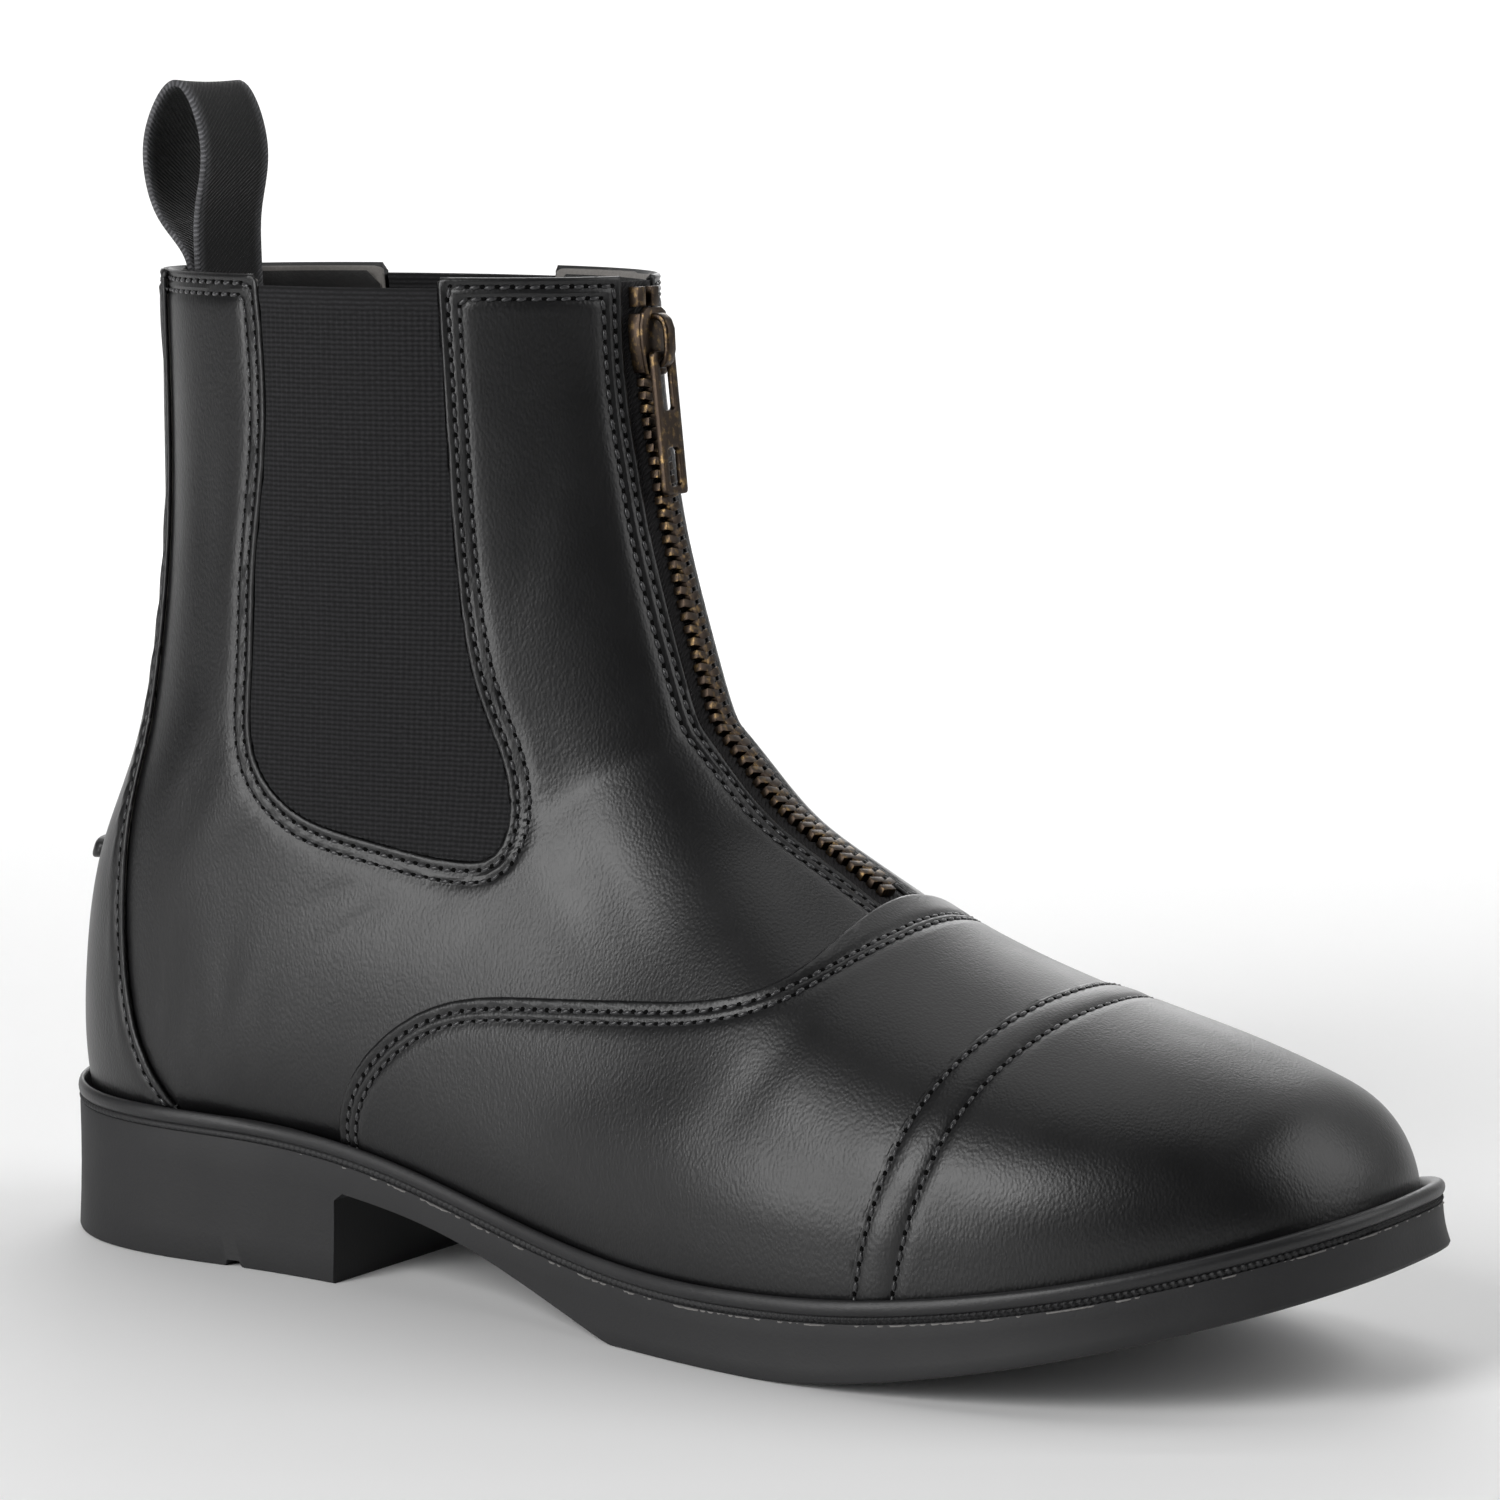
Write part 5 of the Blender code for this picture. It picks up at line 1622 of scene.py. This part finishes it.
def make_loop():
    """Loop of webbing at the back of the collar, to pull the boot on by."""
    colours = boot_colours()
    route = smooth_line(LOOP_ROUTE, 110)
    across = np.linspace(-LOOP_WIDTH / 2, LOOP_WIDTH / 2, 21)
    run = along(route)
    bow = LOOP_BOW * np.sin(np.pi * run / run[-1])[:, None] * (across / across[-1]) ** 2
    points = np.stack(np.broadcast_arrays(route[:, :1], across[None, :], route[:, 1:]), axis=-1)
    points = points + grid_normals(points) * bow[..., None]
    bm = tape_sheet(points, across, run)
    half_width, pitch = LOOP_WIDTH / 2 * MM, boot_sizes().twill_pitch
    cloth = twill_tape("loop_twill", colours.webbing, colours.webbing_pale, half_width, pitch)
    wall = (LOOP_THICKNESS, 0.0)
    add_piece("loop_webbing", bm, [cloth], 180.0, nodes=("pull_loop",), wall=wall)


def studio_paper():
    """Painted studio floor: near white and matte, very slightly uneven."""
    colour = boot_colours().floor
    made, tree, place = new_material("studio_paper")
    uneven = node(tree, "ShaderNodeTexNoise", {"Vector": place, "Scale": 6.0, "Detail": 2.0})
    mixed = node(
        tree, "ShaderNodeMix",
        {"Factor": uneven.outputs["Fac"], "A": toned(colour, 0.97), "B": toned(colour)},
        data_type="RGBA",
    )
    return finished(made, {"Base Color": mixed.outputs["Result"], "Roughness": 0.85})


def bearing(azimuth, elevation, distance):
    """A place round the boot. Azimuth 0 is on its outer side, 90 at its toe."""
    a, e = np.radians(azimuth), np.radians(elevation)
    return Vector((np.sin(a) * np.cos(e), -np.cos(a) * np.cos(e), np.sin(e))) * distance


def add_light(name, place, target, size, power):
    """Soft box: a rectangular area light aimed at a point."""
    lamp = bpy.data.lights.new(name, "AREA")
    lamp.shape = "RECTANGLE"
    lamp.size, lamp.size_y = size
    lamp.energy = power
    light = bpy.data.objects.new(name, lamp)
    light.location = place
    light.rotation_euler = (Vector(target) - Vector(place)).to_track_quat("-Z", "Y").to_euler()
    light.visible_camera = False
    bpy.context.scene.collection.objects.link(light)


def of_kind(items, kind):
    """The vertices or the edges among what an operator returns."""
    return [item for item in items if isinstance(item, kind)]


def make_floor():
    """Pale floor that curves up into a backdrop behind the boot, as the camera sees it."""
    bm = bmesh.new()
    front = [bm.verts.new((side * FLOOR_HALF_WIDTH, -FLOOR_FRONT, 0.0)) for side in (-1, 1)]
    bm.edges.new(front)
    swept = bmesh.ops.extrude_edge_only(bm, edges=bm.edges[:])["geom"]
    verts, edges = (of_kind(swept, kind) for kind in (bmesh.types.BMVert, bmesh.types.BMEdge))
    bmesh.ops.translate(bm, vec=(0.0, FLOOR_FRONT + FLOOR_BACK, 0.0), verts=verts)
    cove = bmesh.ops.spin(
        bm, geom=verts + edges, cent=(0, FLOOR_BACK, COVE_RADIUS), axis=(1, 0, 0), angle=np.pi / 2,
        steps=16, use_merge=False,
    )["geom_last"]
    swept = bmesh.ops.extrude_edge_only(bm, edges=of_kind(cove, bmesh.types.BMEdge))["geom"]
    bmesh.ops.translate(bm, vec=(0, 0, WALL_HEIGHT), verts=of_kind(swept, bmesh.types.BMVert))
    bmesh.ops.recalc_face_normals(bm, faces=bm.faces)
    turn = Matrix.Rotation(np.radians(CAMERA_AZIMUTH), 3, "Z")
    bmesh.ops.rotate(bm, cent=(0, 0, 0), matrix=turn, verts=bm.verts)
    floor = linked("floor", bm)
    floor.data.shade_smooth()
    floor.data.materials.append(studio_paper())


def make_stage():
    """Floor, soft boxes and the photograph's camera."""
    make_floor()
    world = bpy.data.worlds.new("studio")
    world.use_nodes = True
    sky = world.node_tree.nodes["Background"]
    sky.inputs["Color"].default_value = (1.0, 1.0, 1.0, 1.0)
    sky.inputs["Strength"].default_value = WORLD_LIGHT
    bpy.context.scene.world = world
    for box in SOFT_BOXES:
        place = bearing(box.azimuth, box.elevation, BOX_DISTANCE)
        add_light(box.name, place, BOX_TARGET, box.size, box.power)
    behind = CAMERA_AZIMUTH + 180
    wall = bearing(behind, 0, 3.3) + Vector((0, 0, 0.8))
    add_light("backdrop_box", bearing(behind, 0, 1.4) + Vector((0, 0, 2.3)), wall, (5.0, 0.6), 105.0)

    lens = bpy.data.cameras.new("camera")
    lens.lens = CAMERA_LENS
    lens.sensor_width = 36.0
    lens.clip_end = 100.0
    camera = bpy.data.objects.new("camera", lens)
    place, target = ((Vector(point) - ORIGIN) * MM for point in (CAMERA_AT, CAMERA_TO))
    camera.location = place
    camera.rotation_euler = (target - place).to_track_quat("-Z", "Y").to_euler()
    bpy.context.scene.collection.objects.link(camera)
    bpy.context.scene.camera = camera
    bpy.context.scene.view_settings.view_transform = "Standard"


class BOOT_OT_quarters(bpy.types.Operator):
    """Build the leather quarters, their stitching and the lining"""

    bl_idname = "boot.quarters"
    bl_label = "Quarters"

    def execute(self, context):
        make_quarters()
        return {"FINISHED"}


class BOOT_OT_overlays(bpy.types.Operator):
    """Build the vamp, toe cap, back strip and spur rest"""

    bl_idname = "boot.overlays"
    bl_label = "Overlays"

    def execute(self, context):
        make_overlays()
        return {"FINISHED"}


class BOOT_OT_gussets(bpy.types.Operator):
    """Build the two elastic gussets"""

    bl_idname = "boot.gussets"
    bl_label = "Gussets"

    def execute(self, context):
        make_gussets()
        return {"FINISHED"}


class BOOT_OT_zip(bpy.types.Operator):
    """Build the zip with its slider and pull"""

    bl_idname = "boot.zip"
    bl_label = "Zip"

    def execute(self, context):
        make_zip()
        return {"FINISHED"}


class BOOT_OT_sole(bpy.types.Operator):
    """Build the sole, its bead and cord, and the footbed"""

    bl_idname = "boot.sole"
    bl_label = "Sole"

    def execute(self, context):
        make_sole()
        return {"FINISHED"}


class BOOT_OT_loop(bpy.types.Operator):
    """Build the webbing loop"""

    bl_idname = "boot.loop"
    bl_label = "Pull Loop"

    def execute(self, context):
        make_loop()
        return {"FINISHED"}


class BOOT_OT_stage(bpy.types.Operator):
    """Set the floor, the lights and the camera"""

    bl_idname = "boot.stage"
    bl_label = "Stage"

    def execute(self, context):
        make_stage()
        return {"FINISHED"}


OPERATORS = (
    BOOT_OT_quarters,
    BOOT_OT_overlays,
    BOOT_OT_gussets,
    BOOT_OT_zip,
    BOOT_OT_sole,
    BOOT_OT_loop,
    BOOT_OT_stage,
)


class BOOT_PT_sidebar(bpy.types.Panel):
    """Sizes, colours and pieces of the boot"""

    bl_label = "Jodhpur Boot"
    bl_idname = "BOOT_PT_sidebar"
    bl_space_type = "VIEW_3D"
    bl_region_type = "UI"
    bl_category = "Boot"

    def draw(self, context):
        for group in (context.scene.boot_sizes, context.scene.boot_colours):
            column = self.layout.column()
            for name in group.__annotations__:
                column.prop(group, name)
        for operator in OPERATORS:
            self.layout.operator(operator.bl_idname)


CLASSES = (BootSizes, BootColours, *OPERATORS, BOOT_PT_sidebar)


def register():
    for cls in CLASSES:
        bpy.utils.register_class(cls)
    bpy.types.Scene.boot_sizes = bpy.props.PointerProperty(type=BootSizes)
    bpy.types.Scene.boot_colours = bpy.props.PointerProperty(type=BootColours)


def unregister():
    del bpy.types.Scene.boot_colours
    del bpy.types.Scene.boot_sizes
    for cls in reversed(CLASSES):
        bpy.utils.unregister_class(cls)


def main():
    register()
    bpy.ops.boot.quarters()
    bpy.ops.boot.overlays()
    bpy.ops.boot.gussets()
    bpy.ops.boot.zip()
    bpy.ops.boot.sole()
    bpy.ops.boot.loop()
    bpy.ops.boot.stage()


if __name__ == "__main__":
    main()
